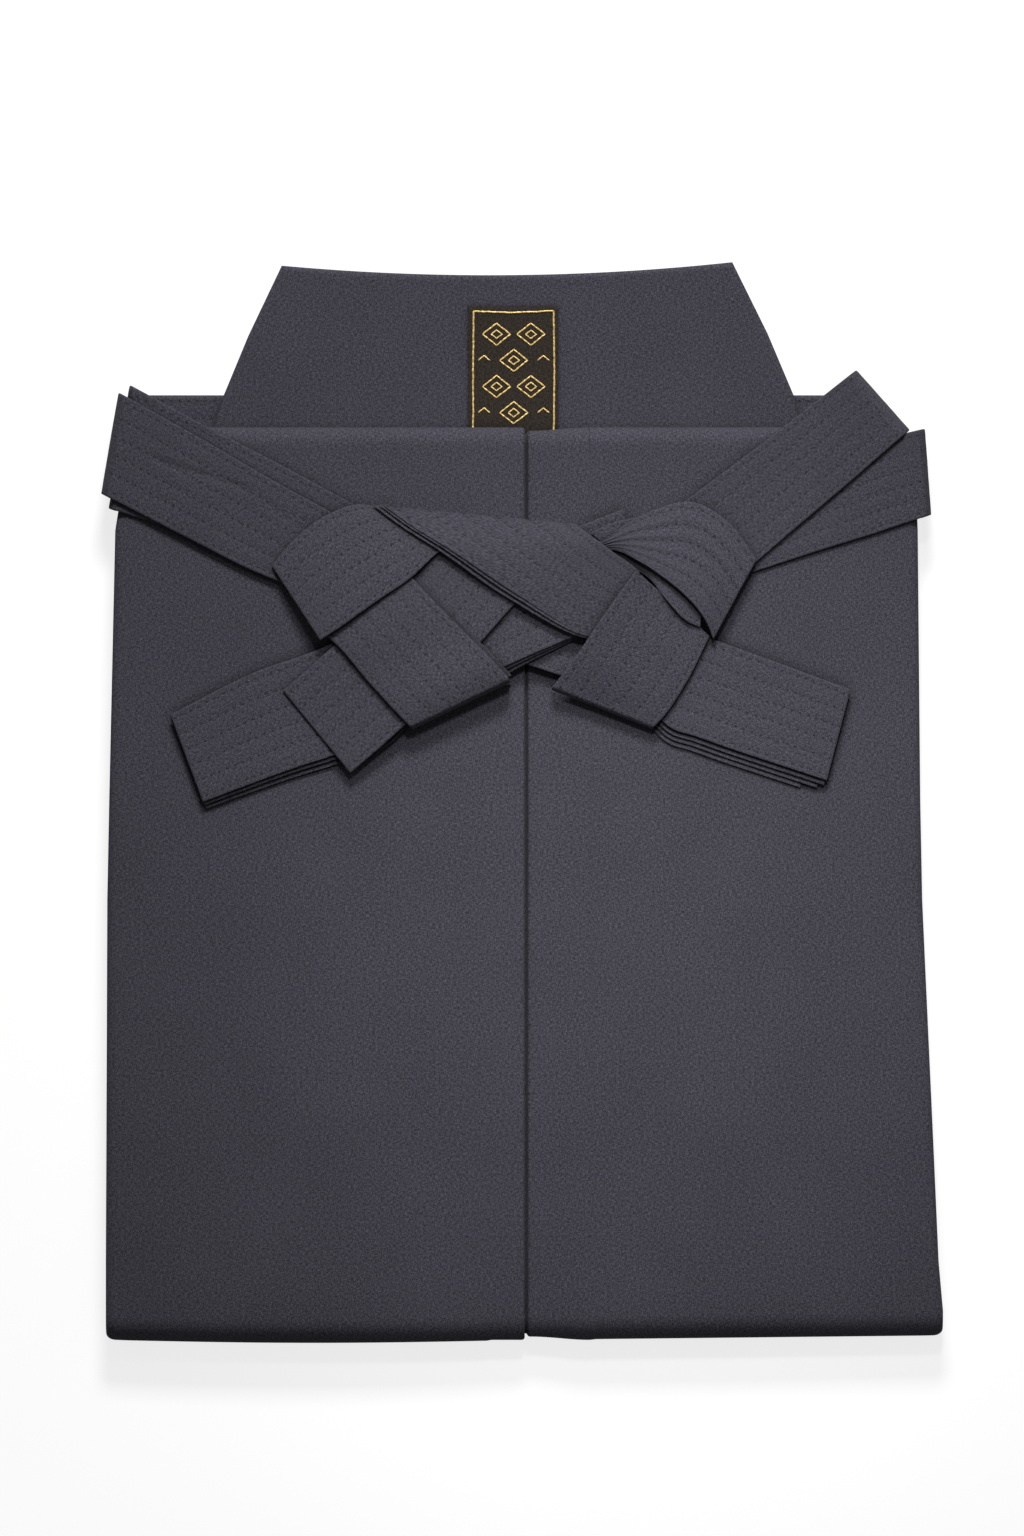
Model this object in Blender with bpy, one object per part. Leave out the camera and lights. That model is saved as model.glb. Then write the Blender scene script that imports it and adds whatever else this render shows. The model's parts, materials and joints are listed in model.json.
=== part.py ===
"""Formal pleated trousers, folded in three and laid flat, with their four straps woven on top.

All sizes are in millimetres until a mesh is made. X runs across the garment, Y runs from the folded
bottom edge towards the stiff back board, and Z is the height above the table. The origin lies on the
table under the middle of the garment.
"""
import math
from collections import namedtuple

import bmesh
import bpy
from mathutils import Vector

MM = 0.001

# The middle of the whole outline, which becomes the origin
MIDDLE_X = -0.5
MIDDLE_Y = -0.07

# Thicknesses and gaps
WALL = 1.0
SEAM_GAP = 0.3
STRAP_THICKNESS = 1.3
BUNDLE_THICKNESS = 3.6
BUNDLE_LAYERS = 4
KNOT_TOP_THICKNESS = 2.4

# The folded stack: the waist third lies lowest, and the other two thirds are folded over it
STACK_HEIGHT = 18.0
UPPER_FOLD_BASE = 6.2
SIDE_LIP_HEIGHT = 5.6
SIDE_LIP_REACH = 4.0
SIDE_TUCK = 6.0
TOP_FOLD_Y = 150.0
TOP_FOLD_REACH = 7.0
BOTTOM_FOLD_Y = -215.6
BOTTOM_FOLD_REACH = 10.0
BOTTOM_LEFT_SAG = 1.2
BOTTOM_RIGHT_RISE = 1.8
WAIST_END_Y = 144.5

# The folded panels' side edges, from the top fold to the bottom fold
SideEdge = namedtuple("SideEdge", "y left right")
SIDE_EDGES = (
    SideEdge(150.0, -153.0, 146.5),
    SideEdge(143.0, -155.0, 150.5),
    SideEdge(132.8, -158.5, 156.4),
    SideEdge(118.8, -161.6, 157.6),
    SideEdge(108.8, -163.2, 158.0),
    SideEdge(0.8, -165.6, 159.0),
    SideEdge(-39.2, -166.4, 159.8),
    SideEdge(-139.2, -166.8, 164.4),
    SideEdge(-184.0, -167.0, 166.4),
    SideEdge(-215.6, -167.0, 169.2),
)

# The centre-back pleat: the left panel folds back on itself over the right panel
PLEAT_X = 0.6
PLEAT_TURN = 1.2
LEFT_FLAP = 22.0
RIGHT_UNDERLAP = 18.0
RIGHT_RISE_START = 3.0
RIGHT_RISE_END = 26.0
LAYER_STEP = WALL + SEAM_GAP
PLEAT_DEPTH = 3 * LAYER_STEP + 0.5
SIDE_NOTCH_TOP = STACK_HEIGHT - SIDE_LIP_HEIGHT + LAYER_STEP

# Soft crown of the panels below the straps, and the pressed crease on the right panel
CROWN_START_Y = -5.0
CROWN_FULL_Y = -80.0
LEFT_CROWN_X = -85.0
LEFT_CROWN_HALF = 80.0
LEFT_CROWN_DROP = 0.9
PLEAT_CROWN_WIDTH = 30.0
CREASE_X = 79.6
CREASE_SLOPE = 0.013

# The stiff back board
BOARD_BASE_Y = WAIST_END_Y + SEAM_GAP
BOARD_BASE_THICKNESS = 4.4
BOARD_TOP_THICKNESS = 3.6
BOARD_EDGE_ROUND = 0.8
BOARD_TOP_LEFT_Y = 215.2
BOARD_TOP_DIP_Y = 211.4
BOARD_TOP_RIGHT_Y = 216.6
BoardSide = namedtuple("BoardSide", "share left right")
BOARD_SIDES = (
    BoardSide(0.00, -126.0, 113.0),
    BoardSide(0.25, -120.4, 108.8),
    BoardSide(0.60, -110.2, 98.2),
    BoardSide(1.00, -96.8, 84.0),
)

# The label patch on the board
LABEL_LEFT = -22.0
LABEL_RIGHT = 14.0
LABEL_TOP_Y = 198.8
LABEL_THICKNESS = 0.8

# The roots of the back straps beside the board
ROOT_THICKNESS = 2.0
ROOT_TOP_Y = 163.2
LEFT_ROOT_END_X = -158.0
RIGHT_ROOT_END_X = 142.0

# How a strap turns down at its first row: how far the fold's curve reaches, the height of the whole
# half turn at each edge, how much of the half turn is made, and in how many steps
Turn = namedtuple("Turn", "reach upper_drop lower_drop degrees steps")
LEFT_BACK_FOLD = Turn(4.0, 16.6, 16.6, 180.0, 6)
LEFT_FRONT_FOLD = Turn(2.4, 12.4, 12.4, 180.0, 6)
RIGHT_BACK_FOLD = Turn(4.0, 16.6, 16.6, 180.0, 6)
RIGHT_FRONT_FOLD = Turn(3.2, 12.4, 12.4, 180.0, 6)
LEFT_PASS_FOLD = Turn(1.8, 11.0, 12.6, 96.0, 4)
RIGHT_PASS_FOLD = Turn(1.8, 6.8, 5.4, 96.0, 4)

StrapRow = namedtuple("StrapRow", "upper_x upper_y upper_z lower_x lower_y lower_z swell")

# Each table runs along one stretch of strap. A row crosses it from its upper to its lower edge, and
# swell says how far its middle stands above the line between them. Where a stretch turns under, its
# first or last row is the fold's outermost line.
LEFT_FRONT_RUN = (
    StrapRow(-157.5, 167.0, 18.95, -166.0, 117.5, 18.95, 0.0),
    StrapRow(-129.0, 151.5, 18.95, -139.0, 109.0, 18.95, 0.0),
    StrapRow(-97.0, 135.0, 18.95, -108.0, 99.0, 18.95, 0.0),
    StrapRow(-68.5, 119.5, 18.95, -82.0, 92.0, 18.95, 0.0),
    StrapRow(-51.0, 110.0, 18.95, -66.0, 86.0, 18.95, 0.0),
)
LEFT_BACK_RUN = (
    StrapRow(-162.0, 164.0, 20.60, -169.0, 123.5, 20.60, 0.0),
    StrapRow(-129.0, 145.5, 20.60, -137.0, 107.0, 20.60, 0.0),
    StrapRow(-97.0, 127.0, 20.60, -106.0, 91.5, 20.60, 0.0),
    StrapRow(-77.0, 116.0, 20.60, -94.0, 87.0, 20.60, 0.0),
    StrapRow(-69.0, 111.0, 20.60, -87.0, 85.0, 20.60, 0.0),
)
LEFT_BACK_WRAP = (
    StrapRow(-100.5, 94.5, 22.30, -81.0, 64.5, 27.30, 0.2),
    StrapRow(-93.0, 103.5, 22.30, -74.0, 69.0, 28.20, 0.8),
    StrapRow(-77.0, 115.5, 22.30, -57.0, 81.0, 29.20, 0.8),
    StrapRow(-66.0, 119.0, 22.10, -44.0, 90.0, 29.40, 0.6),
    StrapRow(-59.0, 118.5, 21.90, -34.5, 99.0, 28.30, 0.2),
    StrapRow(-54.0, 119.0, 22.00, -31.5, 101.0, 28.20, 0.0),
)
LEFT_BACK_PASS = (
    StrapRow(-79.5, 67.0, 24.40, -46.5, 92.5, 26.90, 0.2),
    StrapRow(-77.0, 65.0, 25.30, -44.5, 90.0, 27.80, 0.4),
    StrapRow(-61.0, 47.0, 26.90, -24.5, 69.0, 29.40, 0.5),
    StrapRow(-47.0, 32.0, 27.20, -8.0, 52.0, 28.60, 0.3),
    StrapRow(-44.0, 29.0, 26.90, -4.5, 48.0, 28.00, 0.0),
)
LEFT_BACK_TOP = (
    StrapRow(21.0, 111.0, 27.20, -59.0, 118.5, 24.50, 0.0),
    StrapRow(23.5, 109.0, 28.30, -49.0, 111.0, 27.00, 0.0),
    StrapRow(29.0, 105.0, 29.90, -32.0, 100.0, 30.40, 0.0),
    StrapRow(37.0, 99.0, 30.10, -5.0, 81.0, 30.30, 0.2),
    StrapRow(44.5, 93.7, 29.40, 21.0, 65.0, 28.20, 0.0),
    StrapRow(46.5, 92.0, 29.00, 24.5, 64.0, 27.70, 0.0),
)
RIGHT_BACK_RUN = (
    StrapRow(133.5, 173.0, 20.60, 155.0, 149.0, 20.60, 0.0),
    StrapRow(101.0, 147.5, 20.60, 125.0, 123.0, 20.60, 0.0),
    StrapRow(77.0, 129.5, 20.60, 105.0, 106.0, 20.60, 0.0),
    StrapRow(67.0, 122.0, 20.60, 94.0, 96.5, 20.60, 0.0),
    StrapRow(59.5, 116.5, 20.60, 86.0, 89.5, 20.60, 0.0),
)
RIGHT_BACK_PASS = (
    StrapRow(45.0, 92.6, 30.80, 74.6, 66.2, 23.80, -1.4),
    StrapRow(31.0, 73.0, 31.00, 65.5, 48.0, 23.60, 0.0),
    StrapRow(19.5, 56.0, 27.60, 57.0, 35.0, 23.50, 0.4),
    StrapRow(11.0, 45.0, 24.40, 51.5, 29.0, 23.20, 0.0),
)
RIGHT_BACK_WRAP_UNDER = (
    StrapRow(27.0, 107.5, 25.90, 43.5, 93.5, 26.10, 0.0),
    StrapRow(35.5, 111.5, 25.00, 50.0, 89.5, 26.80, 0.0),
    StrapRow(47.0, 114.0, 23.40, 58.0, 84.0, 28.00, 0.4),
    StrapRow(65.0, 117.0, 22.30, 67.5, 75.5, 26.80, 0.6),
    StrapRow(74.0, 110.5, 22.30, 71.5, 71.5, 25.20, 0.4),
)
RIGHT_BACK_WRAP_OVER = (
    StrapRow(27.5, 103.0, 27.60, 32.0, 99.5, 27.60, 0.0),
    StrapRow(32.5, 105.0, 27.60, 36.0, 100.5, 27.70, 0.0),
    StrapRow(41.0, 111.0, 26.80, 47.0, 95.5, 29.60, 0.0),
    StrapRow(51.0, 116.0, 25.40, 58.0, 88.0, 29.80, 0.4),
    StrapRow(67.0, 120.0, 24.10, 67.5, 79.5, 28.80, 0.6),
    StrapRow(82.0, 112.0, 23.80, 73.0, 72.0, 27.20, 0.4),
    StrapRow(93.5, 97.0, 22.60, 76.0, 65.0, 25.40, 0.0),
)
RIGHT_BACK_TAIL = (
    StrapRow(-96.0, 44.5, 22.60, -69.0, 11.5, 22.80, 0.0),
    StrapRow(-75.0, 63.0, 23.80, -48.0, 30.0, 25.20, 0.2),
    StrapRow(-60.5, 76.0, 25.40, -31.0, 47.5, 27.00, 0.6),
    StrapRow(-45.0, 88.5, 26.20, -17.0, 63.5, 27.60, 0.6),
    StrapRow(-33.0, 100.0, 26.20, -3.0, 79.5, 27.60, 0.4),
    StrapRow(-28.5, 103.0, 26.20, 1.0, 84.0, 27.60, 0.3),
)
RIGHT_FRONT_RUN = (
    StrapRow(161.0, 149.5, 18.95, 163.5, 115.0, 18.95, 0.0),
    StrapRow(143.0, 139.0, 18.95, 141.0, 107.5, 18.95, 0.0),
    StrapRow(119.0, 131.0, 18.95, 117.0, 100.0, 18.95, 0.0),
    StrapRow(97.0, 125.0, 18.95, 95.5, 93.0, 18.95, 0.0),
    StrapRow(79.0, 119.5, 18.95, 79.5, 88.0, 18.95, 0.0),
)
RIGHT_FRONT_BUNDLE = (
    StrapRow(40.0, 117.0, 21.30, 50.0, 75.5, 24.10, 0.0),
    StrapRow(27.0, 112.0, 22.60, 39.0, 71.0, 24.10, 0.0),
    StrapRow(5.0, 103.0, 24.10, 21.0, 63.5, 24.10, 0.0),
    StrapRow(-14.0, 94.7, 24.10, 0.0, 54.5, 24.10, 0.0),
    StrapRow(-27.0, 89.0, 24.10, -10.0, 54.0, 24.10, 0.0),
    StrapRow(-45.0, 79.0, 23.40, -27.5, 44.5, 23.40, 0.0),
    StrapRow(-60.0, 71.0, 22.00, -45.5, 34.0, 22.00, 0.0),
    StrapRow(-67.0, 67.5, 21.40, -51.5, 26.5, 21.40, 0.0),
    StrapRow(-87.0, 59.0, 20.30, -71.0, 17.5, 20.30, 0.0),
    StrapRow(-104.5, 53.0, 20.10, -90.5, 11.0, 20.10, 0.0),
    StrapRow(-141.0, 35.0, 20.10, -127.0, -2.5, 20.10, 0.0),
)
LEFT_FRONT_BUNDLE = (
    StrapRow(-12.0, 96.8, 20.10, -22.0, 63.0, 20.10, 0.0),
    StrapRow(8.0, 89.5, 20.10, -2.5, 54.8, 20.10, 0.0),
    StrapRow(22.0, 84.5, 20.10, 12.0, 49.8, 20.10, 0.0),
    StrapRow(60.0, 70.8, 20.10, 51.0, 35.2, 20.10, 0.0),
    StrapRow(66.0, 68.6, 20.10, 57.0, 29.2, 20.10, 0.0),
    StrapRow(83.0, 62.5, 20.10, 69.0, 24.5, 20.10, 0.0),
    StrapRow(131.0, 45.0, 20.10, 121.0, 7.0, 20.10, 0.0),
)

# Cloth colours, as linear red, green and blue
CLOTH = (0.055, 0.053, 0.070)
LABEL_BLACK = (0.030, 0.026, 0.022)


def clear_scene():
    for thing in list(bpy.data.objects):
        bpy.data.objects.remove(thing)


def cloth_material(name, colour, roughness=0.85):
    material = bpy.data.materials.new(name)
    material.use_nodes = True
    shader = material.node_tree.nodes["Principled BSDF"]
    shader.inputs["Base Color"].default_value = (*colour, 1.0)
    shader.inputs["Roughness"].default_value = roughness
    shader.inputs["Metallic"].default_value = 0.0
    return material


def loft(name, rings, colour=CLOTH, cap_faces=None):
    """One closed body through rings of points in millimetres, closed by a cap at each end."""
    shape = bmesh.new()
    middle = Vector((MIDDLE_X, MIDDLE_Y, 0.0))
    loops = [[shape.verts.new((point - middle) * MM) for point in ring] for ring in rings]
    count = len(loops[0])
    for near, far in zip(loops, loops[1:]):
        for k in range(count):
            after = (k + 1) % count
            shape.faces.new((near[k], near[after], far[after], far[k]))
    if cap_faces is None:
        cap_faces = [(k, k + 1, count - 2 - k, count - 1 - k) for k in range(count // 2 - 1)]
    for ring in (loops[0], loops[-1]):
        for face in cap_faces:
            shape.faces.new([ring[k] for k in face])
    bmesh.ops.triangulate(shape, faces=shape.faces[:])
    bmesh.ops.recalc_face_normals(shape, faces=shape.faces[:])
    if shape.calc_volume(signed=True) < 0:
        bmesh.ops.reverse_faces(shape, faces=shape.faces[:])
    mesh = bpy.data.meshes.new(name)
    shape.to_mesh(mesh)
    shape.free()
    mesh.shade_smooth()
    mesh.set_sharp_from_angle(angle=math.radians(40))
    mesh.materials.append(cloth_material(name, colour))
    made = bpy.data.objects.new(name, mesh)
    bpy.context.scene.collection.objects.link(made)
    return made


def between(table, value, key, column):
    """Linear reading of a table whose key column runs steadily up or down."""
    rows = sorted(table, key=lambda row: getattr(row, key))
    value = min(max(value, getattr(rows[0], key)), getattr(rows[-1], key))
    for low, high in zip(rows, rows[1:]):
        a, b = getattr(low, key), getattr(high, key)
        if value <= b:
            share = (value - a) / (b - a)
            return getattr(low, column) * (1 - share) + getattr(high, column) * share
    return getattr(rows[-1], column)


def smooth_step(share):
    share = min(max(share, 0.0), 1.0)
    return share * share * (3 - 2 * share)


# A point of the stack's section: its share of the way from the pleat to the side edge, an offset
# outwards, and its height in the stack.
SectionPoint = namedtuple("SectionPoint", "share offset z")
# A place along the stack: a straight stretch at y, or an angle round the top or bottom fold.
Station = namedtuple("Station", "end angle y")

FLAT_STATIONS = (138.0, 130.0, 100.0, 50.0, -4.0, -40.0, -80.0, -140.0, -188.0, -196.0)


def crown_drop(x, y):
    """How far the panels sink below the flat level, away from the straps."""
    fade = smooth_step((CROWN_START_Y - y) / (CROWN_START_Y - CROWN_FULL_Y))
    left = LEFT_CROWN_DROP * ((min(x, PLEAT_X) - LEFT_CROWN_X) / LEFT_CROWN_HALF) ** 2
    beyond = smooth_step((x - PLEAT_X) / PLEAT_CROWN_WIDTH)
    right = max(0.0, x - CREASE_X) * CREASE_SLOPE
    return fade * (left * (1 - beyond) + right)


def fold_depth(z, low):
    """How deep a height lies under the skin of a fold whose lower side starts at low."""
    if z > (STACK_HEIGHT + low) / 2:
        return STACK_HEIGHT - z
    return max(z - low, WALL + SEAM_GAP)


def place(point, station, side):
    """The section point's place in the folded stack, on the left (side -1) or right (side 1)."""
    across = point.share
    if side < 0:
        bottom = BOTTOM_FOLD_Y - BOTTOM_LEFT_SAG * math.sin(math.pi * across)
    else:
        bottom = BOTTOM_FOLD_Y + BOTTOM_RIGHT_RISE * across
    y = station.y
    if station.end == "top":
        y = TOP_FOLD_Y - TOP_FOLD_REACH
    if station.end == "bottom":
        y = bottom + BOTTOM_FOLD_REACH
    edge = between(SIDE_EDGES, y, "y", "left" if side < 0 else "right")
    x = PLEAT_X + across * (edge - PLEAT_X) + side * point.offset
    z = point.z
    sink = crown_drop(x, y) * smooth_step((z - UPPER_FOLD_BASE) / (STACK_HEIGHT - UPPER_FOLD_BASE))
    turn = math.radians(station.angle)
    if station.end == "top":
        middle = (STACK_HEIGHT + UPPER_FOLD_BASE) / 2
        if point.z > UPPER_FOLD_BASE:
            depth = fold_depth(point.z, UPPER_FOLD_BASE)
            y += max(TOP_FOLD_REACH - depth, 0.0) * math.sin(turn)
            z = middle + (z - middle) * math.cos(turn)
        else:
            y += (WAIST_END_Y - y) * math.sin(turn)
    if station.end == "bottom":
        middle = STACK_HEIGHT / 2
        y -= (BOTTOM_FOLD_REACH - fold_depth(point.z, 0.0)) * math.sin(turn)
        z = middle + (z - middle) * math.cos(turn)
    return Vector((x, y, z - sink * max(math.cos(turn), 0.0)))


def wall_ring(path, station, side):
    """A closed ring round a wall, WALL thick, whose middle line is the path."""
    outer, inner = [], []
    half_width = 165.0
    spots = [Vector((side * (p.share * half_width + p.offset), p.z)) for p in path]
    for k, point in enumerate(path):
        ahead = spots[min(k + 1, len(spots) - 1)]
        behind = spots[max(k - 1, 0)]
        along = (ahead - behind).normalized()
        out = Vector((-along.y, along.x)) * -side
        for ring, half in ((outer, WALL / 2), (inner, -WALL / 2)):
            shift = out * half
            moved = SectionPoint(point.share, point.offset + side * shift.x, point.z + shift.y)
            ring.append(place(moved, station, side))
    return outer + inner[::-1]


def side_lip(inset, tuck):
    """The side edge's first lip as a path, its middle line inset under the outermost skin."""
    level = STACK_HEIGHT - SIDE_LIP_HEIGHT / 2
    points = []
    for angle in (0, 35, 70, 105, 140, 180):
        turn = math.radians(angle)
        offset = -SIDE_LIP_REACH + (SIDE_LIP_REACH - inset) * math.sin(turn)
        z = level + (SIDE_LIP_HEIGHT / 2 - inset) * math.cos(turn)
        points.append(SectionPoint(1.0, offset, z))
    points.append(SectionPoint(1.0, -SIDE_LIP_REACH - tuck, points[-1].z))
    return points


def panel_stations():
    top = [Station("top", angle, 0.0) for angle in (140, 112, 84, 56, 28, 0)]
    flat = [Station("", 0, y) for y in FLAT_STATIONS]
    bottom = [Station("bottom", angle, 0.0) for angle in (0, 22, 45, 68, 90, 112, 135, 158, 178)]
    return top + flat + bottom


def back_panels():
    face = STACK_HEIGHT - WALL / 2
    flap = face - LAYER_STEP
    underlap = flap - LAYER_STEP
    left = [
        SectionPoint(0.0, LEFT_FLAP, flap),
        SectionPoint(0.0, LEFT_FLAP / 2, flap),
        SectionPoint(0.0, PLEAT_TURN, flap),
        SectionPoint(0.0, 0.55, flap + 0.2),
        SectionPoint(0.0, 0.4, (face + flap) / 2),
        SectionPoint(0.0, 0.55, face - 0.2),
        SectionPoint(0.0, PLEAT_TURN, face),
        SectionPoint(0.0, LEFT_FLAP / 2, face),
    ]
    left += [SectionPoint(share, 0.0, face) for share in (0.2, 0.4, 0.6, 0.8, 0.93)]
    left += side_lip(WALL / 2, SIDE_TUCK)
    right = [
        SectionPoint(0.0, -RIGHT_UNDERLAP, underlap),
        SectionPoint(0.0, -RIGHT_UNDERLAP / 2, underlap),
        SectionPoint(0.0, RIGHT_RISE_START, underlap),
    ]
    for share in (0.25, 0.5, 0.75, 1.0):
        offset = RIGHT_RISE_START + (RIGHT_RISE_END - RIGHT_RISE_START) * share
        right.append(SectionPoint(0.0, offset, underlap + (face - underlap) * smooth_step(share)))
    right += [SectionPoint(share, 0.0, face) for share in (0.3, 0.48, 0.65, 0.8, 0.93)]
    right += side_lip(WALL / 2, SIDE_TUCK)
    for name, path, side in (("back_panel_left", left, -1), ("back_panel_right", right, 1)):
        loft(name, [wall_ring(path, station, side) for station in panel_stations()])


def lower_lips():
    """The section of the layers under the first lip, from its tuck down to the table."""
    notch = SIDE_LIP_REACH + SIDE_TUCK + 1.0
    tuck_bottom = STACK_HEIGHT - SIDE_LIP_HEIGHT - SEAM_GAP
    rows = [(-notch, SIDE_NOTCH_TOP), (-notch, tuck_bottom), (-3.2, tuck_bottom)]
    rows += [(-1.5, 11.0), (-1.0, 9.4), (-1.5, 7.7), (-3.4, 6.8), (-6.0, 6.4)]
    rows += [(-6.0, 6.0), (-4.2, 5.7), (-2.6, 4.6), (-2.1, 3.0), (-2.6, 1.3), (-4.0, 0.0)]
    return [SectionPoint(1.0, offset, z) for offset, z in rows]


def legs_half(side):
    """Half of the folded layers' section, from the pleat over the top and down to the table."""
    skin = WALL + SEAM_GAP
    top = STACK_HEIGHT - skin
    trough = top - 2 * LAYER_STEP
    if side < 0:
        points = [
            SectionPoint(0.0, 0.0, trough),
            SectionPoint(0.0, LEFT_FLAP + 2.0, trough),
            SectionPoint(0.0, LEFT_FLAP + 8.0, top),
        ]
        shares = (0.4, 0.6, 0.8, 0.93)
    else:
        points = [SectionPoint(0.0, RIGHT_RISE_START + 1.0, trough)]
        for share in (0.25, 0.5, 0.75, 1.0):
            offset = RIGHT_RISE_START + 1.0 + (RIGHT_RISE_END - RIGHT_RISE_START) * share
            points.append(SectionPoint(0.0, offset, trough + (top - trough) * smooth_step(share)))
        shares = (0.3, 0.48, 0.65, 0.8, 0.93)
    points += [SectionPoint(share, 0.0, top) for share in shares]
    points += side_lip(skin, SIDE_TUCK)[:-1]
    points += lower_lips()
    points.append(SectionPoint(0.5, 0.0, 0.0))
    return points


def legs_height(point, station):
    """The height of a hidden layer, kept clear of the panels and the pleat where they turn round."""
    z = point.z
    lower_top = 6.0
    skin = WALL + SEAM_GAP
    crest = STACK_HEIGHT - PLEAT_DEPTH
    if station.y == FLAT_STATIONS[-1] and z <= lower_top:
        return skin + z * (lower_top - skin) / lower_top
    if station.end == "bottom" and station.angle < 10:
        return PLEAT_DEPTH + z * (lower_top - PLEAT_DEPTH) / lower_top if z <= lower_top else z
    turned = station.end == "bottom" or station.end == "top" and station.angle > 0 and z > UPPER_FOLD_BASE
    if not turned or point.share > 0.7 and z > SIDE_NOTCH_TOP - 0.01:
        return z
    low = UPPER_FOLD_BASE if station.end == "top" else 0.0
    room = SIDE_NOTCH_TOP - low
    return min(low + PLEAT_DEPTH + (z - low) * (room - PLEAT_DEPTH) / room, crest)


def folded_legs():
    """The hidden layers as one body, rounded at the folds and layered at the side edges."""
    notch = SIDE_LIP_REACH + SIDE_TUCK + 1.0
    stations = [Station("top", angle, 0.0) for angle in (50, 25, 0)]
    stations += [Station("", 0, y) for y in FLAT_STATIONS]
    stations += [Station("bottom", angle, 0.0) for angle in (4, 25, 50, 75)]
    halves = [legs_half(-1), legs_half(1)]
    rings = []
    for station in stations:
        ring = []
        for side, half in zip((-1, 1), halves):
            spots = []
            for p in half:
                inside = p.share == 1 and p.z < SIDE_NOTCH_TOP - 0.01
                if inside and (station.end == "bottom" or station.end == "top" and p.z > UPPER_FOLD_BASE):
                    p = p._replace(offset=-notch)
                spots.append(place(p._replace(z=legs_height(p, station)), station, side))
            ring += spots[::-1] if side < 0 else spots
        rings.append(ring)
    groove = [[p.z > UPPER_FOLD_BASE for p in half].index(False) - 1 for half in halves]
    left = len(halves[0]) - 1 - groove[0]
    right = len(halves[0]) + groove[1]
    count = len(rings[0])
    caps = [
        list(range(left, right + 1)),
        [left - 1, left, right, right + 1],
        list(range(left)) + list(range(right + 1, count)),
    ]
    loft("folded_legs", rings, cap_faces=caps)


def board_edge(share, side):
    return between(BOARD_SIDES, share, "share", side)


def koshi_ita():
    """The stiff back board, cloth over a core, wider at its waist seam than at its top."""
    columns = (0.0, 0.012, 0.1, 0.25, 0.4, 0.5, 0.6, 0.75, 0.9, 0.988, 1.0)
    rows = (0.0, 0.125, 0.25, 0.4, 0.6, 0.8, 0.99, 1.0)
    rings = []
    for row in rows:
        top, bottom = [], []
        thickness = BOARD_BASE_THICKNESS + (BOARD_TOP_THICKNESS - BOARD_BASE_THICKNESS) * row
        for column in columns:
            left, right = board_edge(row, "left"), board_edge(row, "right")
            chord = BOARD_TOP_LEFT_Y + (BOARD_TOP_RIGHT_Y - BOARD_TOP_LEFT_Y) * column
            dip = (BOARD_TOP_LEFT_Y + BOARD_TOP_RIGHT_Y) / 2 - BOARD_TOP_DIP_Y
            top_y = chord - dip * 4 * column * (1 - column)
            x = left + (right - left) * column
            y = BOARD_BASE_Y + (top_y - BOARD_BASE_Y) * row
            rim = column in (columns[0], columns[-1]) or row == rows[-1]
            lip = BOARD_EDGE_ROUND if rim else 0.0
            top.append(Vector((x, y, thickness - lip)))
            bottom.append(Vector((x, y, lip)))
        rings.append(top + bottom[::-1])
    loft("koshi_ita", rings)


def board_height(y):
    share = (y - BOARD_BASE_Y) / (BOARD_TOP_DIP_Y - BOARD_BASE_Y)
    return BOARD_BASE_THICKNESS + (BOARD_TOP_THICKNESS - BOARD_BASE_THICKNESS) * share


def label_patch():
    rings = []
    for y, lip in ((BOARD_BASE_Y, 0.0), (172.0, 0.0), (LABEL_TOP_Y - 0.3, 0.0), (LABEL_TOP_Y, 0.2)):
        low = board_height(y) + SEAM_GAP
        high = low + LABEL_THICKNESS
        top = [Vector((LABEL_LEFT, y, high - 0.2)), Vector((LABEL_LEFT + 0.3, y, high - lip))]
        top += [Vector((LABEL_RIGHT - 0.3, y, high - lip)), Vector((LABEL_RIGHT, y, high - 0.2))]
        bottom = [Vector((LABEL_RIGHT, y, low)), Vector((LABEL_RIGHT - 0.3, y, low))]
        bottom += [Vector((LABEL_LEFT + 0.3, y, low)), Vector((LABEL_LEFT, y, low))]
        rings.append(top + bottom)
    loft("label_patch", rings, LABEL_BLACK)


def back_strap_roots():
    """The strips that leave the board's lower corners, on the table, towards the straps' folds."""
    for name, side, far_x in (("left", -1, LEFT_ROOT_END_X), ("right", 1, RIGHT_ROOT_END_X)):
        rings = []
        for share in (0.0, 0.5, 1.0):
            ring = []
            for y, z in ((BOARD_BASE_Y, ROOT_THICKNESS - 0.4), (BOARD_BASE_Y + 0.4, ROOT_THICKNESS),
                         (ROOT_TOP_Y - 0.4, ROOT_THICKNESS), (ROOT_TOP_Y, ROOT_THICKNESS - 0.4),
                         (ROOT_TOP_Y, 0.4), (ROOT_TOP_Y - 0.4, 0.0),
                         (BOARD_BASE_Y + 0.4, 0.0), (BOARD_BASE_Y, 0.4)):
                board_share = (y - BOARD_BASE_Y) / (BOARD_TOP_LEFT_Y - BOARD_BASE_Y)
                near_x = board_edge(board_share, name) + side * (SEAM_GAP + 0.6)
                ring.append(Vector((near_x + (far_x - near_x) * share, y, z)))
            rings.append(ring)
        loft("back_strap_root_" + name, rings)


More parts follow.
